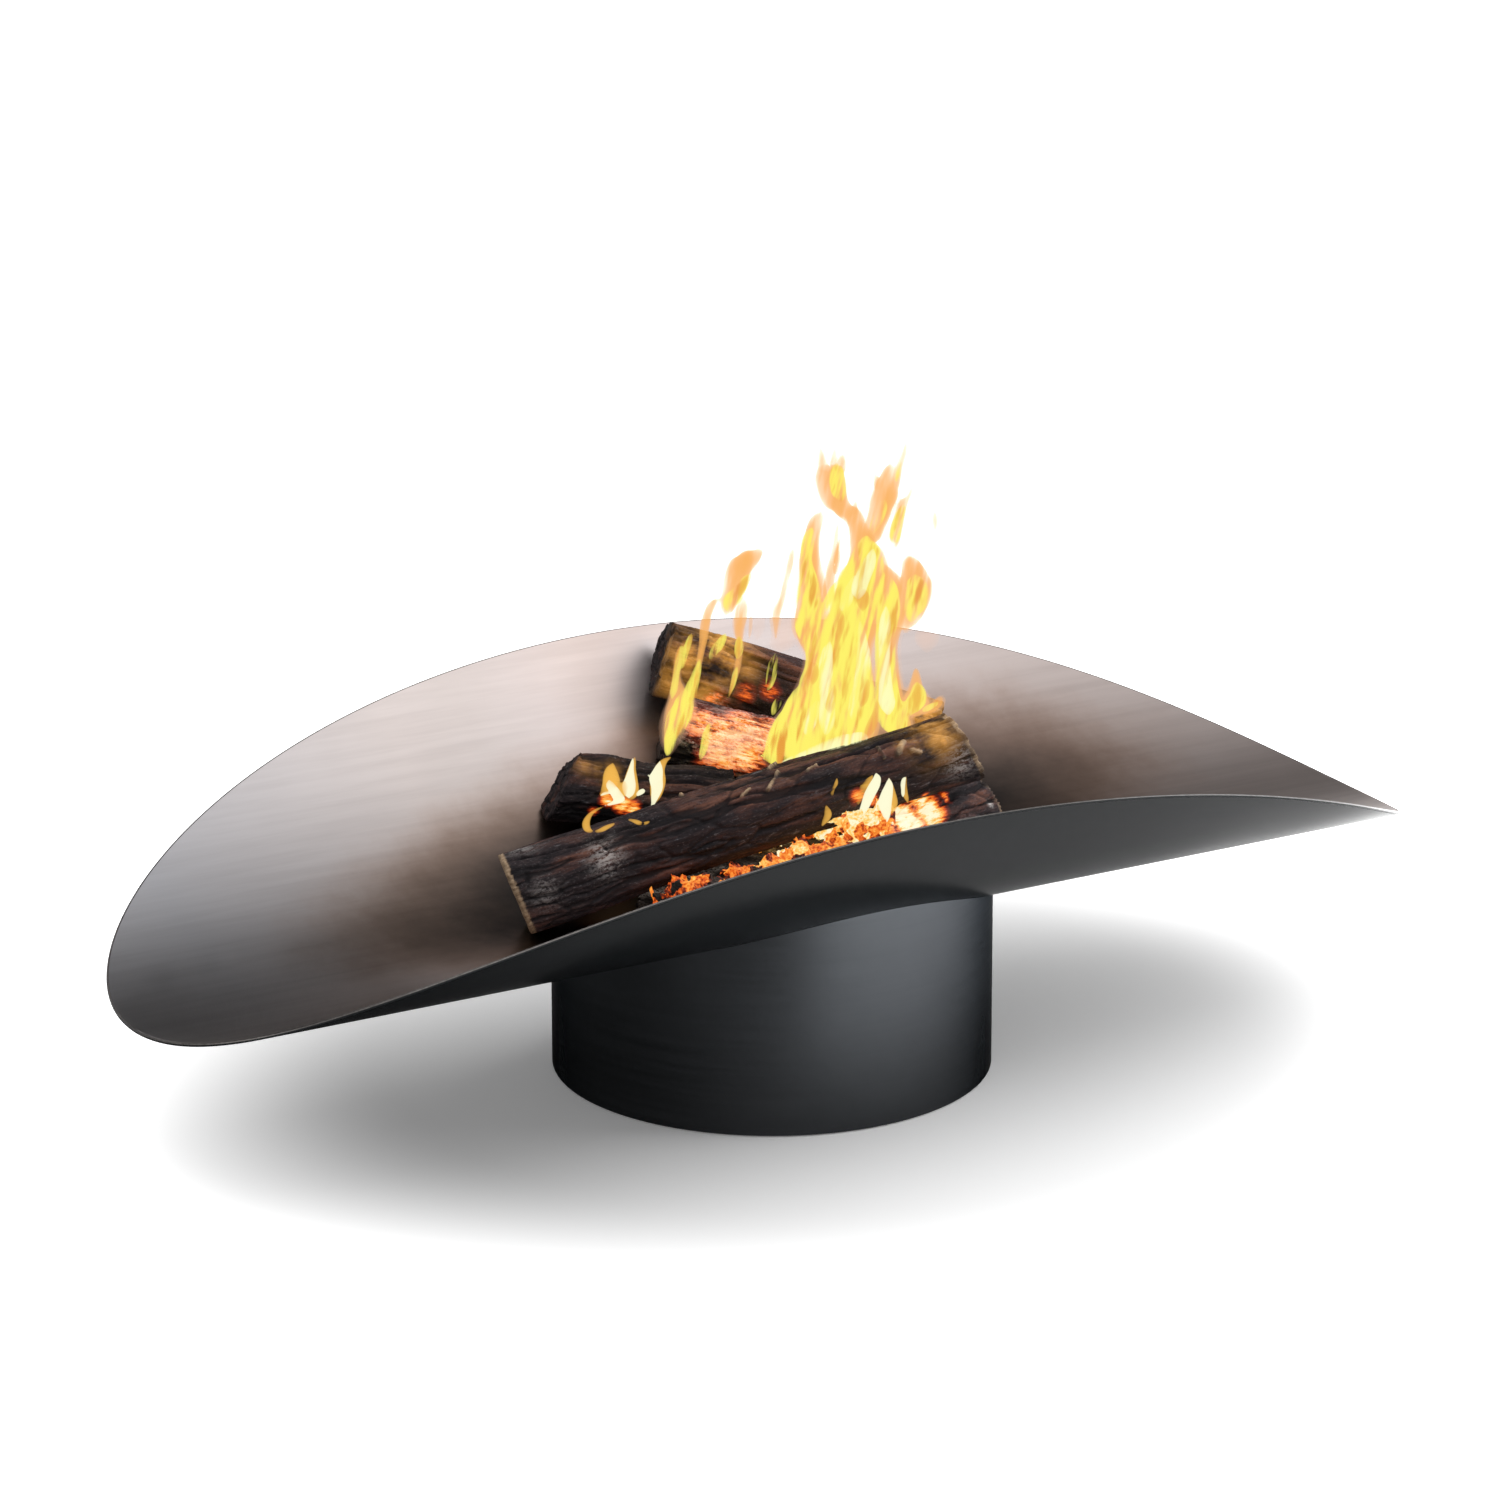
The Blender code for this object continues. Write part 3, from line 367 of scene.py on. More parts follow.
def rough_noise(points, octaves=3, seed=0):
    """Noise from 0 to 1 with finer and finer layers."""
    total = np.zeros(len(points))
    for octave in range(octaves):
        total += smooth_noise(points * 2**octave, seed + octave) / 2**octave
    return total / (2 - 2 ** (1 - octaves))


def cell_borders(points, seed=0):
    """How far each point is from the border between the cells of a random pattern, 0 on the border."""
    cells = np.floor(points)
    first = np.full(len(points), 9.0)
    second = np.full(len(points), 9.0)
    for step in np.ndindex(3, 3, 3):
        near = cells + step - 1
        place = near + np.stack([hashed(near, seed + 7 * axis + 1) for axis in range(3)], 1)
        distance = np.linalg.norm(points - place, axis=1)
        second = np.minimum(second, np.maximum(first, distance))
        first = np.minimum(first, distance)
    return second - first


def smoothstep(low, high, value):
    share = np.clip((value - low) / (high - low), 0, 1)
    return share * share * (3 - 2 * share)


# Mesh tools.


def read_vectors(items, key):
    values = np.empty(len(items) * 3)
    items.foreach_get(key, values)
    return values.reshape(-1, 3)


def mesh_points(mesh):
    return read_vectors(mesh.vertices, "co")


def mesh_normals(mesh):
    return read_vectors(mesh.vertex_normals, "vector")


def set_points(mesh, points):
    mesh.vertices.foreach_set("co", points.astype(np.float32).ravel())
    mesh.update()


def set_attribute(mesh, name, values):
    kind = "FLOAT" if values.ndim == 1 else "FLOAT_VECTOR"
    attribute = mesh.attributes.new(name, kind, "POINT")
    attribute.data.foreach_set("value" if values.ndim == 1 else "vector", values.astype(np.float32).ravel())


def add_object(name, data):
    made = bpy.data.objects.new(name, data)
    bpy.context.scene.collection.objects.link(made)
    return made


def dress(mesh, *surfaces):
    """Gives a mesh materials in place of any that it has. Clearing them would give all faces the first."""
    if len(mesh.materials) > 0:
        mesh.materials.clear()
    for surface in surfaces:
        mesh.materials.append(surface)


def remeshed(mesh, voxel):
    """A closed mesh as an even net of quads."""
    source = add_object("remesh_source", mesh)
    remesh = source.modifiers.new("remesh", "REMESH")
    remesh.mode = "VOXEL"
    remesh.voxel_size = voxel
    remesh.use_smooth_shade = True
    fine = bpy.data.meshes.new_from_object(source.evaluated_get(bpy.context.evaluated_depsgraph_get()))
    bpy.data.objects.remove(source)
    return fine


def node_mesh(name):
    """A CAD node's mesh, in one piece and with no doubled points."""
    bm = bmesh.new()
    bm.from_mesh(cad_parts[name].data)
    bmesh.ops.remove_doubles(bm, verts=bm.verts, dist=1e-6)
    mesh = bpy.data.meshes.new(name)
    bm.to_mesh(mesh)
    bm.free()
    return mesh


def finish_piece(made, body, slot, *nodes):
    """Makes a piece ride on a body and stand for CAD nodes, which it hides. The slot is not used."""
    made.data.shade_smooth()
    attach(made, body)
    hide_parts(*nodes)


# Nodes and materials.


class Nodes:
    """The nodes of a material or of the world. Most methods add a node and return its result's socket."""

    def __init__(self, owner):
        owner.use_nodes = True
        self.owner = owner
        self.tree = owner.node_tree

    def feed(self, node, inputs):
        """Links or sets a node's inputs."""
        for key, value in inputs.items():
            if isinstance(value, bpy.types.NodeSocket):
                self.tree.links.new(value, node.inputs[key])
            else:
                node.inputs[key].default_value = value

    def add(self, kind, inputs=None, output=0, **settings):
        node = self.tree.nodes.new("ShaderNode" + kind)
        for key, value in settings.items():
            setattr(node, key, value)
        self.feed(node, inputs or {})
        return node.outputs[output]

    def place(self):
        return self.add("TexCoord", output="Object")

    def ray(self, kind):
        return self.add("LightPath", output=f"Is {kind} Ray")

    def mark(self, name, output="Fac"):
        return self.add("Attribute", output=output, attribute_name=name)

    def part(self, vector, axis):
        return self.add("SeparateXYZ", {"Vector": vector}, axis)

    def maths(self, operation, first, second=0.0):
        return self.add("Math", {0: first, 1: second}, operation=operation)

    def plus(self, first, second):
        return self.maths("ADD", first, second)

    def times(self, first, second):
        return self.maths("MULTIPLY", first, second)

    def vector(self, operation, first, second=(0.0, 0.0, 0.0)):
        output = "Value" if operation in ("DOT_PRODUCT", "DISTANCE", "LENGTH") else "Vector"
        return self.add("VectorMath", {0: first, 1: second}, output, operation=operation)

    def remap(self, value, low, high, to_low=0.0, to_high=1.0, smooth=True):
        inputs = {"Value": value, "From Min": low, "From Max": high, "To Min": to_low, "To Max": to_high}
        return self.add("MapRange", inputs, interpolation_type="SMOOTHSTEP" if smooth else "LINEAR")

    def noise(self, vector, scale, detail=4.0, roughness=0.55):
        """Noise of one scale, or of a scale for each axis."""
        if isinstance(scale, tuple):
            vector = self.add("Mapping", {"Vector": vector, "Scale": scale})
            scale = 1.0
        inputs = {"Vector": vector, "Scale": scale, "Detail": detail, "Roughness": roughness}
        return self.add("TexNoise", inputs)

    def ramp(self, value, *stops):
        """A colour ramp from (place, colour) stops."""
        colours = self.add("ValToRGB", {"Fac": value})
        elements = colours.node.color_ramp.elements
        for index, (place, colour) in enumerate(stops):
            element = elements[index] if index < 2 else elements.new(place)
            element.position = place
            element.color = (*colour, 1.0)
        return colours

    def mix(self, share, first, second, blend="MIX"):
        inputs = {"Factor": share}
        for socket, colour in ((6, first), (7, second)):
            inputs[socket] = colour if isinstance(colour, bpy.types.NodeSocket) else (*colour, 1.0)
        return self.add("Mix", inputs, 2, data_type="RGBA", blend_type=blend)

    def layered(self, colour, layers, blend="MIX"):
        """A colour with layers on it, each a share and a colour."""
        for share, tint in layers:
            colour = self.mix(share, colour, tint, blend)
        return colour

    def bump(self, height, distance, **normal):
        return self.add("Bump", {"Height": height, "Distance": distance, "Strength": 1.0, **normal})


class Surface(Nodes):
    """A material. What is the same all over it is set on its shader at once, and the rest when it is done."""

    def __init__(self, name, **constants):
        super().__init__(bpy.data.materials.new(name))
        self.finished(**constants)

    def finished(self, **inputs):
        shader = self.tree.nodes["Principled BSDF"]
        self.feed(shader, {key.replace("_", " "): value for key, value in inputs.items()})
        return self.owner


# The camera and what it sees behind the object.


def camera_frame():
    """The camera's place, and its right, up and forward directions."""
    level = math.cos(CAMERA_ELEVATION)
    across, along = math.sin(CAMERA_AZIMUTH) * level, math.cos(CAMERA_AZIMUTH) * level
    back = Vector((-across, -along, math.sin(CAMERA_ELEVATION)))
    height = back.z * CAMERA_DISTANCE + LOOKED_AT.z
    place = Vector((back.x * CAMERA_DISTANCE, back.y * CAMERA_DISTANCE, height))
    forward = (LOOKED_AT - place).normalized()
    right = forward.cross(Vector((0.0, 0.0, 1.0))).normalized()
    up = right.cross(forward)
    turn = math.atan2(LOOKED_AT_PIXEL[0] - IMAGE / 2, FOCAL)
    tip = math.atan2(LOOKED_AT_PIXEL[1] - IMAGE / 2, FOCAL)
    turned_right = right * math.cos(turn) + forward * math.sin(turn)
    turned = forward * math.cos(turn) - right * math.sin(turn)
    tipped = turned * math.cos(tip) + up * math.sin(tip)
    tipped_up = up * math.cos(tip) - turned * math.sin(tip)
    return place, turned_right, tipped_up, tipped


CAMERA_PLACE, RIGHT, UP, FORWARD = camera_frame()


def add_camera():
    data = bpy.data.cameras.new("camera")
    data.sensor_width = SENSOR
    data.lens = FOCAL / IMAGE * SENSOR
    data.clip_end = 200.0
    camera = add_object("camera", data)
    turned = Matrix((RIGHT, UP, -FORWARD)).transposed().to_4x4()
    camera.matrix_world = Matrix.Translation(CAMERA_PLACE) @ turned
    bpy.context.scene.camera = camera


def pixel_ray(x, y):
    """The line from the camera through a pixel of the photograph."""
    way = FORWARD * FOCAL + RIGHT * (x - IMAGE / 2) - UP * (y - IMAGE / 2)
    return CAMERA_PLACE, way.normalized()


def add_floor():
    """A white floor that keeps the object's shadow and turns into the white backdrop further out. A black
    flag on its left, as photographers use, shows only in what is shiny."""
    mesh = bpy.data.meshes.new("floor")
    half = FLOOR_SIZE / 2
    corners = [(-half, -half, 0), (half, -half, 0), (half, half, 0), (-half, half, 0)]
    mesh.from_pydata(corners, [], [(0, 1, 2, 3)])
    floor = add_object("floor", mesh)
    white = Surface("studio_floor", Roughness=0.9, Specular_IOR_Level=0.0, Emission_Color=WHITE)
    camera, glossy = white.ray("Camera"), white.ray("Glossy")
    place = white.place()
    flagged = white.remap(white.part(place, "X"), *FLOOR_FLAG, FLOOR_FLAGGED, 1.0)
    reach = white.vector("DISTANCE", place, FLOOR_MIDDLE)
    dimmed = white.times(flagged, white.remap(reach, *FLOOR_MIRRORED_FADE, FLOOR_MIRRORED, 1.0))
    level = white.add("Mix", {"Factor": glossy, 2: FLOOR_LIT, 3: dimmed}, data_type="FLOAT")
    seen = white.times(camera, white.remap(reach, *FLOOR_FADE, FLOOR_GLOW, 1.0))
    mirrored = white.times(white.times(glossy, white.remap(reach, *FLOOR_MIRRORED_FADE)), flagged)
    colour = white.mix(camera, level, WHITE[:3])
    dress(mesh, white.finished(Base_Color=colour, Emission_Strength=white.plus(seen, mirrored)))


def add_world():
    """A white room. Steel shows its horizon white, its front bright and its ceiling darker to the back."""
    bpy.context.scene.world = bpy.data.worlds.new("studio")
    room = Nodes(bpy.context.scene.world)
    glossy = room.ray("Glossy")
    way = room.add("TexCoord", output="Generated")
    facing = room.vector("DOT_PRODUCT", way, ROOM_BRIGHT_SIDE)
    ceiling = room.remap(facing, 0.0, ROOM_BRIGHTEST, ROOM_DARK, ROOM_BRIGHT, smooth=False)
    horizon = room.remap(room.part(way, "Z"), ROOM_HORIZON, 2 * ROOM_HORIZON, 1.0, 0.0)
    reflected = room.times(glossy, room.maths("MAXIMUM", ceiling, horizon))
    straight = room.maths("MAXIMUM", room.ray("Camera"), room.ray("Transmission"))
    light = room.times(ROOM_LIGHT, room.maths("SUBTRACT", 1.0, glossy))
    strength = room.maths("MAXIMUM", room.maths("MAXIMUM", straight, reflected), light)
    room.feed(room.tree.nodes["Background"], {"Color": WHITE, "Strength": strength})


def add_lamps():
    """Soft boxes that shiny surfaces don't mirror."""
    for name, place, target, width, height, power in LAMPS:
        data = bpy.data.lights.new(name, "AREA")
        data.energy = power
        data.shape = "RECTANGLE"
        data.size = width
        data.size_y = height
        lamp = add_object(name, data)
        way = Vector(target) - Vector(place)
        lamp.matrix_world = Matrix.Translation(place) @ way.to_track_quat("-Z", "Y").to_matrix().to_4x4()
        lamp.visible_glossy = False


# The bowl.


def rolled(along, across, offset=0.0):
    """Where a point of the flat blank lies once rolled, offset towards the inside."""
    angle = across / BEND_RADIUS
    radius = BEND_RADIUS - offset
    return (along, radius * math.sin(angle), BEND_CENTRE_Z - radius * math.cos(angle))


def build_bowl():
    """The rolled sheet as rings of its oval, with a rounded rim. Inside, rim and outside differ in finish."""
    half = SHEET / 2
    shares = [math.sin(math.pi / 2 * step / BOWL_RINGS) for step in range(1, BOWL_RINGS)] + [BOWL_LAST_RING]
    inner = [(share, half, 0.0) for share in shares]
    for degrees in (30, 60, 90):
        turn = math.radians(degrees)
        inner.append((1.0, half - RIM_RADIUS * (1 - math.cos(turn)), RIM_RADIUS * (1 - math.sin(turn))))
    outer = [(1.0, 0.0, 0.0)] + [(share, -offset, inset) for share, offset, inset in reversed(inner)]
    bm = bmesh.new()
    loops = []
    for share, offset, inset in inner + outer:
        loop = []
        for step in range(BOWL_SEGMENTS):
            angle = 2 * math.pi * step / BOWL_SEGMENTS
            along = (BLANK_LENGTH / 2 * share - inset) * math.cos(angle)
            across = (BLANK_WIDTH / 2 * share - inset) * math.sin(angle)
            loop.append(bm.verts.new(rolled(along, across, offset)))
        loops.append(loop)
    for number, (low, high) in enumerate(zip(loops, loops[1:])):
        kind = 0 if number < len(shares) - 1 else 2 if number >= len(inner) else 1
        for step in range(BOWL_SEGMENTS):
            after = (step + 1) % BOWL_SEGMENTS
            bm.faces.new((low[step], low[after], high[after], high[step])).material_index = kind
    for loop, offset, kind in ((loops[0], half, 0), (loops[-1], -half, 2)):
        middle = bm.verts.new(rolled(0.0, 0.0, offset))
        for step in range(BOWL_SEGMENTS):
            bm.faces.new((loop[step], loop[(step + 1) % BOWL_SEGMENTS], middle)).material_index = kind
    bmesh.ops.recalc_face_normals(bm, faces=bm.faces)
    mesh = bpy.data.meshes.new("bowl_sheet")
    bm.to_mesh(mesh)
    bm.free()
    dress(mesh, inside_steel(), rim_steel(), black_paint("bowl_black"))
    finish_piece(add_object("bowl_sheet", mesh), "bowl", "bowl_steel", "bowl")


def reach_from(steel, place, middle, across):
    """How far a place is from a middle, along the bowl as it is and across it stretched."""
    offset = steel.vector("SUBTRACT", place, middle)
    stretched = steel.vector("DOT_PRODUCT", offset, across)
    flat = steel.add("CombineXYZ", {"X": steel.part(offset, "X"), "Y": stretched})
    return steel.vector("LENGTH", flat)


def inside_steel():
    """Brushed steel, tinted by the heat and sooty round the logs with painted shade mixed in, and towards its
    left end darker the lower it lies, which is painted shade.
    """
    steel = Surface("inside_steel", Metallic=1.0)
    place = steel.place()
    x, y = steel.part(place, "X"), steel.part(place, "Y")
    streaks = steel.noise(place, (3.0, 60.0, 60.0), 6.0, 0.6)
    clouds = steel.noise(place, 3.0, 4.0, 0.6)
    smudges = steel.noise(place, 9.0, 5.0, 0.65)
    along = steel.remap(x, -BLANK_LENGTH / 2, BLANK_LENGTH / 2, smooth=False)
    colour = steel.ramp(
        along, (0.094, (0.562, 0.559, 0.587)), (0.312, (0.749, 0.673, 0.651)), (0.375, (0.749, 0.673, 0.651)),
        (0.444, (0.820, 0.735, 0.724)), (0.562, (0.820, 0.735, 0.724)), (0.812, (0.634, 0.547, 0.521)),
    )
    rag = steel.remap(smudges, 0.3, 0.7, -0.03, 0.03, smooth=False)
    # The heat, soot and char stains are partly real soot and heat tint, partly painted shade round the logs.
    soot_and_shade = steel.plus(reach_from(steel, place, SOOT_AND_SHADE_MIDDLE, SOOT_AND_SHADE_ACROSS), rag)
    char = steel.plus(reach_from(steel, place, CHAR_AND_SHADE_MIDDLE, CHAR_AND_SHADE_ACROSS), rag)
    # Painted shade: towards the left end, the lower the steel lies, the darker it is.
    low = steel.plus(y, steel.remap(y, -0.13, -0.36, 0.0, 0.60))
    low = steel.plus(low, steel.remap(x, -0.52, -0.30, 0.0, 0.60))
    stains = ((soot_and_shade, HEAT_TINT_AND_SHADE), (soot_and_shade, SOOT_AND_SHADE_STAIN), (char, CHAR_AND_SHADE_STAIN), (low, LOW_PAINTED_SHADE))
    layers = [(steel.remap(value, near, far, 1.0, 0.0), tint) for value, (near, far, tint) in stains]
    layers.append((steel.remap(streaks, 0.35, 0.70, 0.0, 0.22), (0.55, 0.53, 0.52)))
    return steel.finished(
        Base_Color=steel.layered(colour, layers, "MULTIPLY"),
        Roughness=steel.remap(clouds, 0.3, 0.7, 0.34, 0.44),
        Normal=steel.bump(streaks, 0.0001),
    )


def rim_steel():
    """The bare edge of the sheet, dull where it is hottest and brighter towards the right."""
    steel = Surface("rim_steel", Metallic=1.0, Roughness=0.30)
    place = steel.place()
    grain = steel.noise(place, 220.0, 3.0)
    dull = steel.ramp(grain, (0.3, (0.20, 0.185, 0.175)), (0.7, (0.34, 0.32, 0.305)))
    bright = steel.ramp(grain, (0.3, (0.66, 0.655, 0.65)), (0.7, (0.90, 0.89, 0.88)))
    towards_right = steel.remap(steel.part(place, "X"), 0.05, 0.45)
    return steel.finished(Base_Color=steel.mix(towards_right, dull, bright))


def bare_steel():
    steel = Surface("bare_steel", Metallic=1.0)
    place = steel.place()
    grain = steel.noise(place, 220.0, 3.0)
    stains = steel.noise(place, 22.0, 5.0, 0.6)
    return steel.finished(
        Base_Color=steel.ramp(stains, (0.35, (0.30, 0.27, 0.25)), (0.65, (0.52, 0.50, 0.485))),
        Roughness=steel.remap(grain, 0.3, 0.7, 0.32, 0.46),
        Normal=steel.bump(grain, 0.00005),
    )


def black_paint(name):
    """Heat-proof black paint: satin, a little cloudy and finely grained."""
    black = Surface(name, Specular_IOR_Level=0.32)
    place = black.place()
    clouds = black.noise(place, 5.0)
    return black.finished(
        Base_Color=black.ramp(clouds, (0.3, (0.011, 0.0125, 0.014)), (0.7, (0.016, 0.018, 0.020))),
        Roughness=black.remap(clouds, 0.3, 0.7, 0.19, 0.24),
        Normal=black.bump(black.noise(place, 900.0, 2.0), 0.00004),
    )


def round_normal(nodes):
    """The normal of a wall round the Z axis as if it had no facets, and of the rest as it is."""
    outwards = nodes.vector("NORMALIZE", nodes.vector("MULTIPLY", nodes.place(), (1.0, 1.0, 0.0)))
    own = nodes.add("TexCoord", output="Normal")
    facing = nodes.vector("DOT_PRODUCT", outwards, own)
    smooth = nodes.vector("MULTIPLY", outwards, nodes.maths("SIGN", facing))
    wall = nodes.maths("GREATER_THAN", nodes.maths("ABSOLUTE", facing), 0.9)
    settings = {"vector_type": "NORMAL", "convert_from": "OBJECT", "convert_to": "WORLD"}
    return nodes.add("VectorTransform", {"Vector": nodes.mix(wall, own, smooth)}, **settings)


def drum_paint():
    """The drum's black, with metal flake in it, so that it darkens towards its edges instead of shining, and
    with painted shade darkening it towards its bottom.
    """
    black = Surface("drum_black", Metallic=1.0, Specular_Tint=(0.22, 0.22, 0.22, 1.0))
    place = black.place()
    clouds = black.noise(place, 5.0)
    brushed = black.noise(place, (6.0, 6.0, 240.0))
    colour = black.ramp(clouds, (0.3, (0.096, 0.103, 0.112)), (0.7, (0.116, 0.124, 0.135)))
    # Painted shade: the paint is darker towards the drum's bottom.
    dust_and_shade = black.remap(black.part(place, "Z"), 0.0, 0.16, 1.0, 0.0)
    return black.finished(
        Base_Color=black.mix(dust_and_shade, colour, (0.72, 0.71, 0.70), "MULTIPLY"),
        Roughness=black.remap(brushed, 0.3, 0.7, 0.33, 0.41),
        Normal=black.bump(black.noise(place, 900.0, 2.0), 0.00004, Normal=round_normal(black)),
    )


# The logs.


def log_frame(points):
    """A log's middle and the directions along and across it, along first and towards +X."""
    middle = (points.min(0) + points.max(0)) / 2
    _, _, axes = np.linalg.svd(points - points.mean(0), full_matrices=False)
    along = axes[0] * np.sign(axes[0][0])
    side = np.cross([0.0, 0.0, 1.0], along)
    side /= np.linalg.norm(side)
    return middle, np.stack([along, side, np.cross(along, side)])


def spotted(points, spots):
    """How strongly each point is marked by spots given as pixels, a radius in pixels and a strength."""
    total = np.zeros(len(points))
    for x, y, radius, strength in spots:
        reach = np.linalg.norm(points - fire_place(x, y), axis=1) / (radius * PIXEL)
        total = np.maximum(total, strength * np.exp(-reach**2))
    return total


def splintered(points, lines):
    """How strongly each point belongs to splinters, given by the pixels of both ends and half the width."""
    total = np.zeros(len(points))
    for x0, y0, x1, y1, half in lines:
        start, end = np.array(fire_place(x0, y0)), np.array(fire_place(x1, y1))
        way = end - start
        share = np.clip((points - start) @ way / (way @ way), 0.0, 1.0)
        reach = np.linalg.norm(points - start - share[:, None] * way, axis=1) / (half * PIXEL)
        total = np.maximum(total, 1 - smoothstep(0.7, 1.5, reach))
    return total


def end_distance(points, grain, facing):
    """How far each point is from the plane of the sawn end that it is nearer to."""
    distance = np.empty(len(points))
    for side in (-1, 1):
        half = grain[:, 0] * side > 0
        face = points[half & (facing > 0.85)]
        middle = face.mean(0)
        _, _, axes = np.linalg.svd(face - middle, full_matrices=False)
        distance[half] = np.abs((points[half] - middle) @ axes[2])
    return distance


def build_log(name, surface):
    """A log with char cracks, grooves along the grain and rough ends, cut into the CAD log."""
    seed = LOGS.index(name) * 31
    coarse = node_mesh(name)
    middle, axes = log_frame(mesh_points(coarse))
    mesh = remeshed(coarse, LOG_VOXEL)
    points = mesh_points(mesh)
    normals = mesh_normals(mesh)
    grain = (points - middle) @ axes.T
    facing = np.abs(normals @ axes[0])
    end = smoothstep(0.55, 0.75, facing)
    bend = np.stack([rough_noise(points * 25, 2, seed + axis) for axis in range(3)], 1) - 0.5
    warped = grain + bend * 0.010
    fibre = rough_noise(warped * (20, 330, 330), 2, seed + 3)
    groove = 1 - np.abs(2 * rough_noise(warped * (4.5, 62, 62), 3, seed + 5) - 1)
    groove = smoothstep(0.84, 0.99, groove)
    blocks = 1 - smoothstep(0.01, 0.09, cell_borders(warped * (11, 42, 42), seed + 9))
    lumps = rough_noise(grain * (12, 22, 22), 3, seed + 11)
    depth = 0.0016 * fibre + 0.0034 * groove + 0.0016 * blocks + 0.0050 * (1 - lumps)
    rings = smooth_noise(grain * (4, 240, 240), seed + 13)
    spokes = 1 - smoothstep(0.02, 0.10, cell_borders(grain * (5, 45, 45), seed + 15))
    end_depth = 0.0008 * rings + 0.0020 * spokes + 0.0008
    depth = depth * (1 - end) + end_depth * end
    splinters = splintered(points, LOG_SPLINTERS.get(name, ()))
    moved = points - normals * (depth * (1 - splinters) - LOG_SWELL)[:, None]
    length = np.ptp(grain[:, 0])
    worn = (1 - smoothstep(0.0, 0.035, length / 2 - np.abs(grain[:, 0]))) * LOG_WORN_ENDS[name]
    worn *= rough_noise(grain * (0, 38, 38), 3, seed + 17)
    moved -= (worn * np.sign(grain[:, 0]))[:, None] * axes[0]
    moved[:, 2] = np.minimum(moved[:, 2], cad_box[1][2] - BOX_GAP)
    set_points(mesh, keep_in_bowl(moved))
    band = np.maximum(end, 1 - smoothstep(0.002, 0.0045, end_distance(points, grain, facing)))
    pale = np.maximum(band * LOG_PALE_ENDS[name], splinters)
    set_attribute(mesh, "grain", grain)
    set_attribute(mesh, "end", pale)
    set_attribute(mesh, "crack", np.clip(0.75 * groove + 0.5 * blocks, 0, 1) * (1 - pale))
    for mark, spots in (("glow", LOG_GLOW), ("golden", LOG_PAINTED_FIRELIGHT), ("ash", LOG_ASH), ("brown", LOG_BROWN)):
        set_attribute(mesh, mark, spotted(points, spots.get(name, ())))
    dress(mesh, surface)
    finish_piece(add_object("wood_" + name, mesh), "bowl", "charred_wood", name)


def charred_wood():
    """Burnt wood: black char and brown fibres, with golden patches of painted firelight that glow a little,
    ashen or glowing where its marks say so.
    """
    wood = Surface("charred_wood", Roughness=0.75, Specular_IOR_Level=0.3, Emission_Strength=1.0)
    mark = {name: wood.mark(name) for name in LOG_MARKS}
    grain = wood.mark("grain", "Vector")
    fine = wood.noise(grain, (60.0, 420.0, 420.0), 6.0, 0.72)
    specks = wood.noise(grain, (260.0, 420.0, 420.0), 4.0, 0.75)
    broad = wood.noise(grain, (9.0, 48.0, 48.0), 5.0, 0.65)
    flecks = wood.noise(grain, (45.0, 150.0, 150.0), 5.0, 0.7)
    patches = wood.noise(grain, (26.0, 40.0, 40.0), 4.0, 0.6)
    char = wood.ramp(
        wood.plus(broad, wood.times(mark["brown"], 0.12)), (0.36, (0.005, 0.004, 0.0055)),
        (0.52, (0.017, 0.011, 0.013)), (0.62, (0.062, 0.027, 0.022)), (0.74, (0.19, 0.080, 0.052)),
    )
    # Painted firelight: golden patches that glow as if lit by the flames.
    firelit_gold = wood.ramp(fine, (0.35, (0.24, 0.11, 0.03)), (0.65, (0.62, 0.37, 0.13)))
    golden = wood.times(mark["golden"], wood.remap(patches, 0.30, 0.62))
    dust_and_shade = wood.times(mark["ash"], wood.remap(wood.plus(specks, flecks), 0.86, 1.14))
    sawn = wood.ramp(fine, (0.3, (0.26, 0.16, 0.09)), (0.7, (0.58, 0.43, 0.28)))
    towards_right = wood.remap(wood.part(grain, "X"), 0.0, 0.02, 0.0, 0.9)
    scorched = wood.times(wood.remap(patches, 0.40, 0.58), towards_right)
    layers = (
        (wood.remap(fine, 0.48, 0.70, 0.0, 0.5), (0.085, 0.058, 0.058)),
        (wood.remap(flecks, 0.60, 0.72, 0.0, 0.45), (0.24, 0.23, 0.245)),
        (wood.remap(specks, 0.56, 0.74, 0.0, 0.6), (0.17, 0.155, 0.165)),
        (wood.remap(specks, 0.46, 0.30, 0.0, 0.8), (0.003, 0.0025, 0.003)),
        (golden, firelit_gold),
        (dust_and_shade, (0.56, 0.52, 0.50)),
        (mark["end"], wood.mix(scorched, sawn, (0.030, 0.024, 0.022))),
        (wood.remap(mark["crack"], 0.1, 0.8, 0.0, 0.92), (0.004, 0.003, 0.004)),
    )
    swing = wood.remap(wood.plus(fine, flecks), 0.75, 1.25, -0.30, 0.30, smooth=False)
    heat = wood.times(mark["glow"], wood.plus(1.0, swing))
    heat = wood.plus(heat, wood.times(swing, wood.remap(mark["glow"], 0.1, 0.5, 0.0, 0.5)))
    heat = wood.maths("SUBTRACT", heat, wood.times(mark["crack"], 0.12))
    lit = wood.mix(wood.times(golden, FIRELIGHT), (0.0, 0.0, 0.0), (1.0, 0.44, 0.07))
    hot_ash = wood.times(dust_and_shade, wood.remap(mark["glow"], 0.25, 0.60, 0.0, 0.75))
    shone = wood.mix(1.0, glow_colours(wood, heat), lit, "ADD")
    return wood.finished(
        Base_Color=wood.layered(char, layers),
        Normal=wood.bump(fine, 0.0010),
        Emission_Color=wood.mix(hot_ash, shone, (0.82, 0.50, 0.24)),
    )


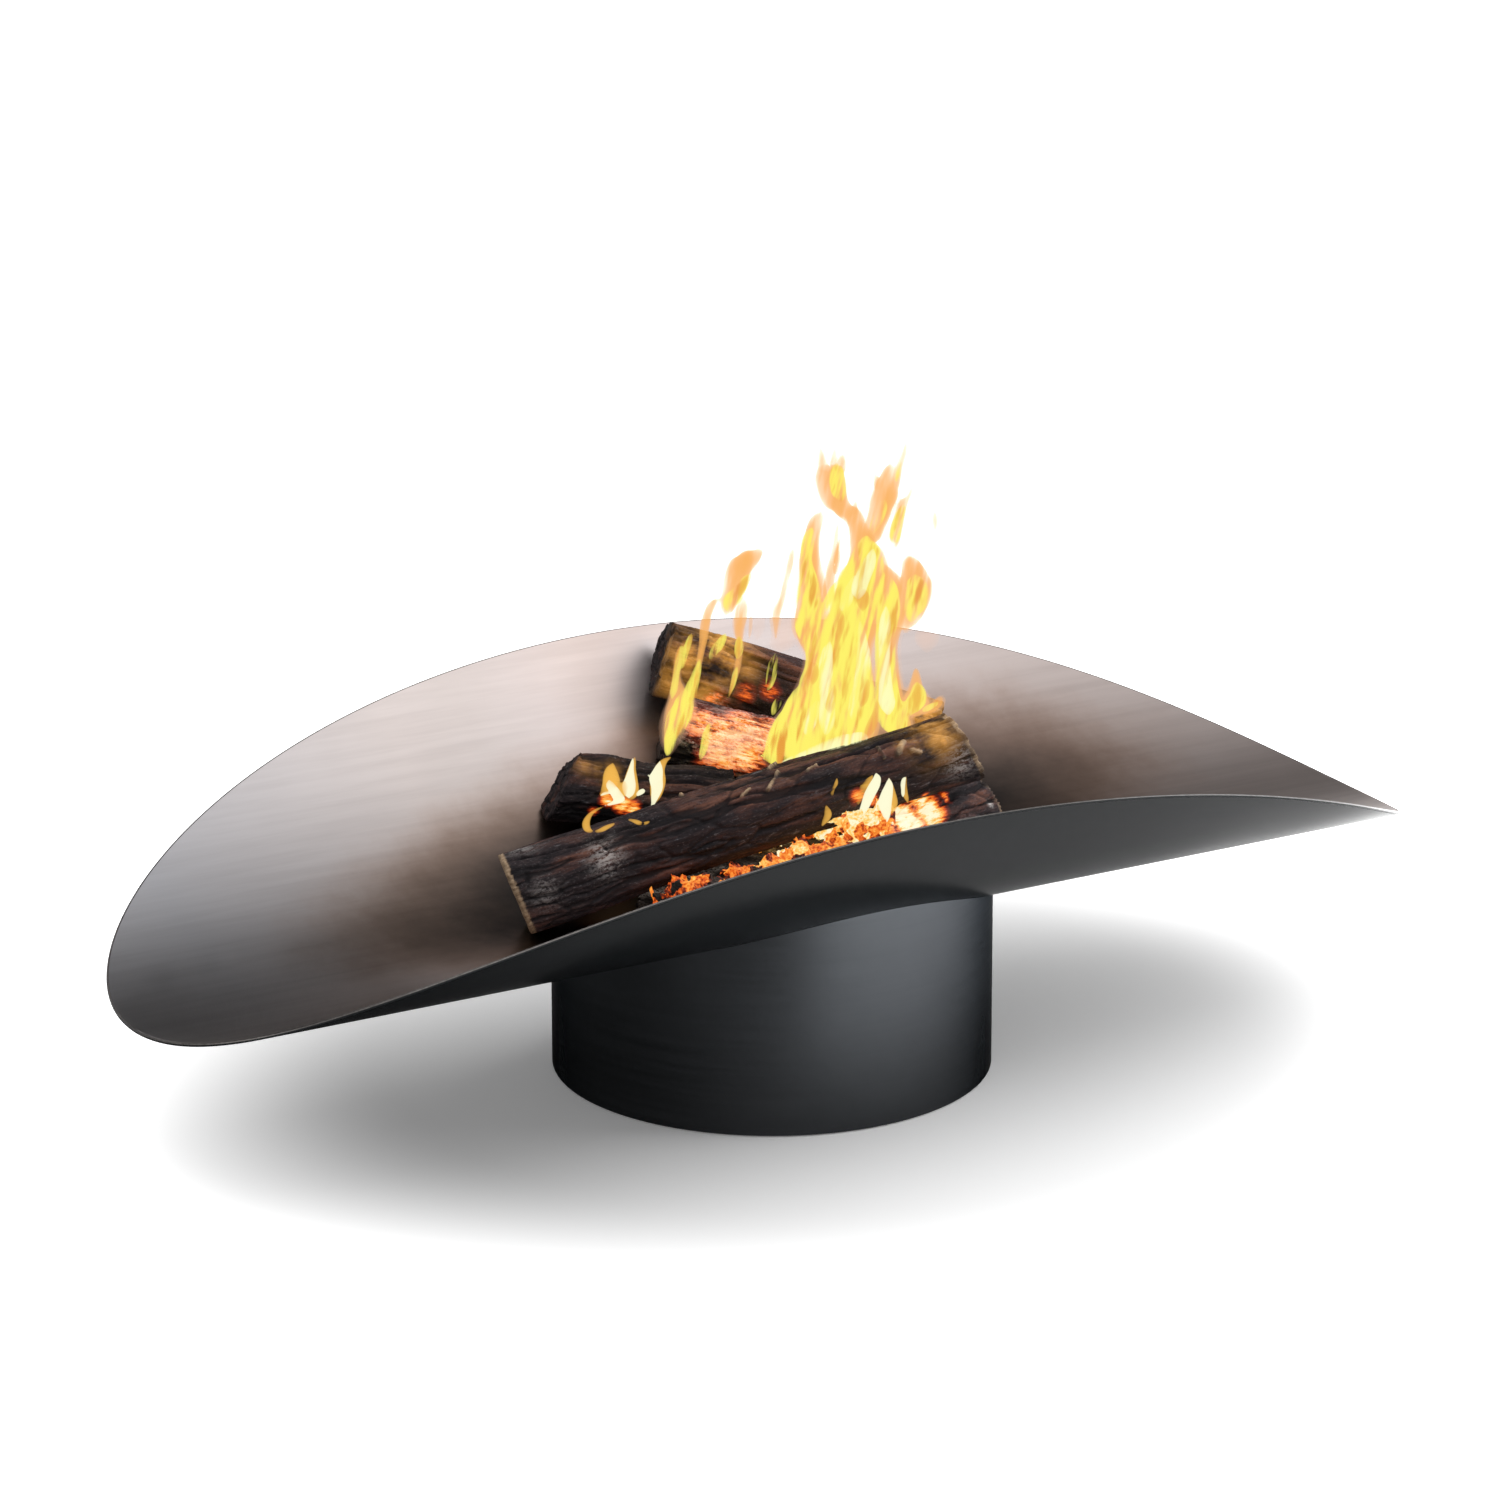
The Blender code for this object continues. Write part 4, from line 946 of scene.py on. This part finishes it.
# The embers and the ash.


def shard_shapes(count, dice):
    """Broken pieces of charcoal of about unit size, as points and faces."""
    shapes = []
    for _ in range(count):
        bm = bmesh.new()
        for _ in range(10):
            way = Vector([dice.gauss(0, 1) for _ in range(3)]).normalized() * 1.3
            bm.verts.new([max(-1.0, min(1.0, part)) for part in way])
        made = bmesh.ops.convex_hull(bm, input=bm.verts)
        spare = made["geom_interior"] + made["geom_unused"]
        loose = {item for item in spare if isinstance(item, bmesh.types.BMVert)}
        bmesh.ops.delete(bm, geom=list(loose), context="VERTS")
        bm.verts.index_update()
        points = np.array([vertex.co for vertex in bm.verts])
        shapes.append((points, [[vertex.index for vertex in face.verts] for face in bm.faces]))
        bm.free()
    return shapes


def joined_mesh(name, solids):
    """One mesh from solids given as points and faces."""
    points, faces, count = [], [], 0
    for solid_points, solid_faces in solids:
        faces += [[index + count for index in face] for face in solid_faces]
        points.append(solid_points)
        count += len(solid_points)
    mesh = bpy.data.meshes.new(name)
    mesh.from_pydata(np.concatenate(points).tolist(), [], faces)
    return mesh


def as_solid(mesh, drop=0.0):
    """A mesh's points, let down a little, and its faces."""
    return mesh_points(mesh) - [0.0, 0.0, drop], [list(face.vertices) for face in mesh.polygons]


def scattered(mesh, spacing, dice):
    """Places and normals spread over the upper side of a closed mesh."""
    mesh.calc_loop_triangles()
    points = mesh_points(mesh)
    places = []
    for triangle in mesh.loop_triangles:
        corners = points[list(triangle.vertices)]
        count = triangle.area / spacing**2
        for _ in range(int(count) + (dice.random() < count % 1)):
            u, v = sorted((dice.random(), dice.random()))
            place = corners[0] * u + corners[1] * (v - u) + corners[2] * (1 - v)
            places.append((place, np.array(triangle.normal)))
    return [(place, normal) for place, normal in places if normal[2] > -0.5]


def tangent_axes(normal, along, dice):
    """Axes of a piece that lies on a surface, its length roughly along a direction."""
    tilt = np.array([dice.gauss(0, 0.45) for _ in range(3)])
    up = normal + tilt
    up /= np.linalg.norm(up)
    way = along + np.array([dice.gauss(0, 0.55) for _ in range(3)])
    way -= up * (way @ up)
    way /= np.linalg.norm(way)
    return np.stack([way, np.cross(up, way), up])


def keep_in_bowl(points, gap=0.0005):
    """Points moved off the bowl's inside face."""
    across = points[:, 1:] - np.array([0.0, BEND_CENTRE_Z])
    reach = np.linalg.norm(across, axis=1)
    limit = BEND_RADIUS - SHEET / 2 - gap
    share = np.minimum(1.0, limit / np.maximum(reach, 1e-6))
    kept = points.copy()
    kept[:, 1:] = np.array([0.0, BEND_CENTRE_Z]) + across * share[:, None]
    return kept


def build_embers(name, surface, heat):
    """A heap of glowing shards, each as hot as heat says for its place, give or take."""
    dice = random.Random(name)
    heap = node_mesh(name)
    shapes = shard_shapes(24, dice)
    solids = [as_solid(heap, 0.001)]
    tree_points, heats = [], []
    for place, normal in scattered(heap, EMBER_SPACING, dice):
        length = dice.uniform(*EMBER_HALF_LENGTHS)
        width, thickness = dice.uniform(*EMBER_WIDTHS), dice.uniform(*EMBER_THICKNESSES)
        half_sizes = np.array([length, length * width, length * thickness])
        middle = place - normal * half_sizes[2] * EMBER_SINK
        points, faces = dice.choice(shapes)
        solids.append((middle + points * half_sizes @ tangent_axes(normal, EMBERS_ALONG, dice), faces))
        tree_points.append(middle)
        heats.append(heat(middle) + dice.choice(EMBER_HEAT_STEPS) + dice.uniform(-0.12, 0.12))
    mesh = remeshed(joined_mesh(name + "_rough", solids), EMBER_VOXEL)
    points = mesh_points(mesh)
    finder = KDTree(len(tree_points))
    for number, point in enumerate(tree_points):
        finder.insert(point, number)
    finder.balance()
    nearest = [finder.find(point)[1] for point in points]
    glow = np.array(heats)[nearest] + (rough_noise(points * 260, 2, 41) - 0.5) * 0.5
    fine = rough_noise(points * 420, 2, 43)
    moved = points - mesh_normals(mesh) * (EMBER_RELIEF * fine)[:, None]
    low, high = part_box(name)
    moved = np.clip(keep_in_bowl(moved), low, high)
    set_points(mesh, moved)
    set_attribute(mesh, "glow", glow)
    dress(mesh, surface)
    finish_piece(add_object("glowing_" + name, mesh), "bowl", "embers", name)
    mesh.shade_flat()


def glow_colours(nodes, heat):
    """The light that hot charcoal gives off, from black over red and orange to yellow-white."""
    return nodes.ramp(
        heat, (0.10, (0.0, 0.0, 0.0)), (0.28, (0.14, 0.010, 0.001)), (0.45, (0.78, 0.11, 0.008)),
        (0.64, (1.0, 0.34, 0.04)), (0.82, (1.0, 0.66, 0.17)), (1.0, (1.0, 0.92, 0.62)),
    )


def glowing_charcoal():
    charcoal = Surface("glowing_charcoal", Roughness=0.9, Specular_IOR_Level=0.2, Emission_Strength=1.0)
    grain = charcoal.noise(charcoal.place(), 340.0, 3.0)
    heat = charcoal.plus(charcoal.mark("glow"), charcoal.remap(grain, 0.3, 0.7, -0.14, 0.14, smooth=False))
    return charcoal.finished(
        Base_Color=charcoal.ramp(grain, (0.35, (0.012, 0.009, 0.008)), (0.65, (0.05, 0.042, 0.038))),
        Emission_Color=glow_colours(charcoal, heat),
    )


def front_heat(place):
    """The front heap is hottest where the bottom log crosses it, on the right."""
    return 0.38 + 0.46 * float(np.clip((place[0] + 0.10) / 0.20, 0, 1))


def inner_heat(place):
    return 0.72


def build_ash(surface):
    """The bed of ash: soft heaps with flakes and crumbs of charcoal on them."""
    dice = random.Random("ash")
    coarse = node_mesh("ash_bed")
    shapes = shard_shapes(24, dice)
    solids = [as_solid(coarse)]
    for place, normal in scattered(coarse, ASH_CRUMB_SPACING, dice):
        if normal[2] > 0.5:
            half_sizes = np.array([1.0, 0.7, 0.35]) * dice.uniform(*ASH_CRUMB_HALF_LENGTHS)
            along = np.array([dice.gauss(0, 1), dice.gauss(0, 1), 0.0])
            points, faces = dice.choice(shapes)
            middle = place - normal * half_sizes[2] * 0.6
            solids.append((middle + points * half_sizes @ tangent_axes(normal, along, dice), faces))
    mesh = remeshed(joined_mesh("ash_rough", solids), ASH_VOXEL)
    points = mesh_points(mesh)
    normals = mesh_normals(mesh)
    depth = 0.0022 * rough_noise(points * 60, 3, 51) + 0.0008 * rough_noise(points * 400, 2, 53)
    moved = points - normals * (depth * np.clip(normals[:, 2], 0, 1))[:, None]
    low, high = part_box("ash_bed")
    set_points(mesh, np.clip(keep_in_bowl(moved, 0.0), low, high))
    dress(mesh, surface)
    finish_piece(add_object("ash_layer", mesh), "bowl", "ash", "ash_bed")


def wood_ash():
    ash = Surface("wood_ash", Roughness=0.95, Specular_IOR_Level=0.1)
    place = ash.place()
    clouds = ash.noise(place, 45.0, 5.0, 0.65)
    crumbs = ash.noise(place, 320.0, 3.0, 0.6)
    colour = ash.ramp(
        clouds, (0.38, (0.014, 0.012, 0.012)), (0.54, (0.09, 0.083, 0.08)), (0.68, (0.40, 0.38, 0.37))
    )
    colour = ash.mix(ash.remap(crumbs, 0.50, 0.60), colour, (0.012, 0.010, 0.010))
    return ash.finished(Base_Color=colour, Normal=ash.bump(crumbs, 0.0010))


# The flames. They aren't part of the object: they are volumes on the stage, and only go where the bowl goes.


def fire_place(x, y):
    """The place on the logs, the embers or the bowl that a pixel of the photograph shows."""
    place, way = pixel_ray(x, y)
    hits = [tree.ray_cast(place, way) for tree in FIRE_TREES]
    return min((hit for hit in hits if hit[0] is not None), key=lambda hit: hit[3])[0]


def fire_trees():
    """The logs, the embers and the bowl as trees that rays can be cast on."""
    meshes = [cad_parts[name].data for name in (*LOGS, "front_embers", "inner_embers", "bowl")]
    return [BVHTree.FromPolygons(mesh_points(mesh).tolist(), as_solid(mesh)[1]) for mesh in meshes]


def smooth_route(points, steps=5):
    """A smooth curve through points."""
    points = np.array(points, float)
    padded = np.concatenate([points[:1], points, points[-1:]])
    route = []
    for before, first, second, after in zip(padded, padded[1:], padded[2:], padded[3:]):
        for step in range(steps):
            share = step / steps
            route.append(0.5 * (
                2 * first + (second - before) * share
                + (2 * before - 5 * first + 4 * second - after) * share**2
                + (3 * first - before - 3 * second + after) * share**3
            ))
    return np.array(route + [points[-1]])


def tongue(depth, route, swell):
    """A tongue of flame as points and faces: rings of a flat oval round a route given in pixels and half
    widths, in an upright plane that faces the camera."""
    rooted = len(route[0]) == 2
    level = Vector((FORWARD.x, FORWARD.y, 0.0)).normalized()
    origin = (fire_place(*route[0]) if rooted else Vector(FLAME_CENTRE)) + level * depth
    right = Vector((RIGHT.x, RIGHT.y, 0.0)).normalized()
    route = smooth_route(route[rooted:])
    points, faces = [], []
    sides = 12
    last = len(route) - 1
    for row, (x, y, half) in enumerate(route):
        place, way = pixel_ray(x, y)
        middle = place + way * ((origin - place).dot(level) / way.dot(level))
        ends = min(1.0, (0.4 + row) / 3.0, (0.4 + last - row) / 3.0)
        wide = max(0.0006, half * PIXEL * swell * ends)
        deep = min(FLAME_DEPTH, 0.8 * wide + 0.002)
        for side in range(sides):
            angle = 2 * math.pi * side / sides
            points.append(middle + right * wide * math.cos(angle) + level * deep * math.sin(angle))
    for row in range(last):
        for side in range(sides):
            after = (side + 1) % sides
            low, high = row * sides, (row + 1) * sides
            faces.append([low + side, low + after, high + after, high + side])
    faces.append(list(range(sides))[::-1])
    faces.append([last * sides + side for side in range(sides)])
    return np.array([tuple(point) for point in points]), faces


def build_flames(name, tongues, surface, depth, swell, ripple):
    """Tongues of flame joined into one volume and rippled upwards. Each stands at about the same depth, and
    the fine ones at just that depth behind their root."""
    dice = random.Random(name)
    fine = tongues in (GOLDEN_FLAMES, SMALL_FLAMES)
    spread, voxel = (0.0, FINE_VOXEL) if fine else (FLAME_SPREAD, FLAME_VOXEL)
    solids = [tongue(depth + dice.uniform(-spread, spread), route, swell) for route in tongues]
    mesh = remeshed(joined_mesh(name + "_rough", solids), voxel)
    points = mesh_points(mesh)
    wave = rough_noise(points * (85, 85, 16), 2, 71) - 0.5
    set_points(mesh, points + mesh_normals(mesh) * (ripple * wave)[:, None])
    dress(mesh, surface)
    made = add_object(name, mesh)
    mesh.shade_smooth()
    made.visible_shadow = False
    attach(made, "bowl")


def flame_light(name, colour, density, streaks=None, width=95.0, noisy=(0.38, 0.60)):
    """Glowing gas: it hides what is behind it as much as it glows, so a thick flame shows its own colour.
    Where it is streaked, it thins out between upright streaks."""
    gas = Nodes(bpy.data.materials.new(name))
    gas.tree.nodes.remove(gas.tree.nodes["Principled BSDF"])
    thick = density
    if streaks is not None:
        place = gas.place()
        up = gas.part(place, "Z")
        aside = gas.vector("DOT_PRODUCT", place, tuple(RIGHT))
        leaning = gas.maths("SUBTRACT", aside, gas.times(up, FLAME_LEAN))
        flat = gas.add("CombineXYZ", {"X": leaning, "Z": up})
        noise = gas.noise(flat, (width, 1.0, 14.0), 3.0, 0.6)
        thick = gas.remap(noise, *noisy, density * streaks[0], density * streaks[1])
    soak = gas.add("VolumeAbsorption", {"Color": (0.0, 0.0, 0.0, 1.0), "Density": thick})
    glow = gas.add("Emission", {"Color": (*colour, 1.0), "Strength": thick})
    gas.feed(gas.tree.nodes["Material Output"], {"Volume": gas.add("AddShader", {0: soak, 1: glow})})
    return gas.owner


def add_flames():
    for name, tongues, colour, density, depth, swell, ripple, *streaks in FLAME_LAYERS:
        build_flames(name, tongues, flame_light(name, colour, density, *streaks), depth, swell, ripple)


# The CAD nodes that stay get better materials.


def dress_nodes():
    """The CAD nodes that stay get their materials by the starts of their names."""
    zinc, steel, pads = zinc_steel(), bare_steel(), rubber()
    surfaces = {
        "drum_shell": drum_paint(), "base_ring": black_paint("base_black"), "weld_nut": zinc,
        "lock_nut": zinc, "foot_stem": zinc, "shield_s": zinc, "foot_pad": pads, "locating_lug": steel,
        "heat_shield": steel,
    }
    for name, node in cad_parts.items():
        for start, surface in surfaces.items():
            if name.startswith(start):
                dress(node.data, surface)


def zinc_steel():
    zinc = Surface("zinc", Metallic=1.0)
    spangle = zinc.add("TexVoronoi", {"Vector": zinc.place(), "Scale": 300.0})
    return zinc.finished(
        Base_Color=zinc.ramp(spangle, (0.1, (0.50, 0.51, 0.53)), (0.7, (0.68, 0.69, 0.71))),
        Roughness=zinc.remap(spangle, 0.0, 0.8, 0.30, 0.42),
    )


def rubber():
    black = Surface("rubber", Roughness=0.75, Specular_IOR_Level=0.3)
    grain = black.noise(black.place(), 600.0, 3.0)
    return black.finished(
        Base_Color=black.ramp(grain, (0.3, (0.010, 0.010, 0.010)), (0.7, (0.024, 0.024, 0.023))),
        Normal=black.bump(grain, 0.0001),
    )


def write_sizes():
    bpy.context.view_layer.update()


FIRE_TREES = fire_trees()
scene = bpy.context.scene
scene.view_settings.view_transform = "Standard"
scene.cycles.use_denoising = True
scene.cycles.transparent_max_bounces = 64
add_camera()
add_floor()
add_world()
add_lamps()
build_bowl()
wood = charred_wood()
for log in LOGS:
    build_log(log, wood)
charcoal = glowing_charcoal()
build_embers("front_embers", charcoal, front_heat)
build_embers("inner_embers", charcoal, inner_heat)
build_ash(wood_ash())
add_flames()
dress_nodes()
write_sizes()
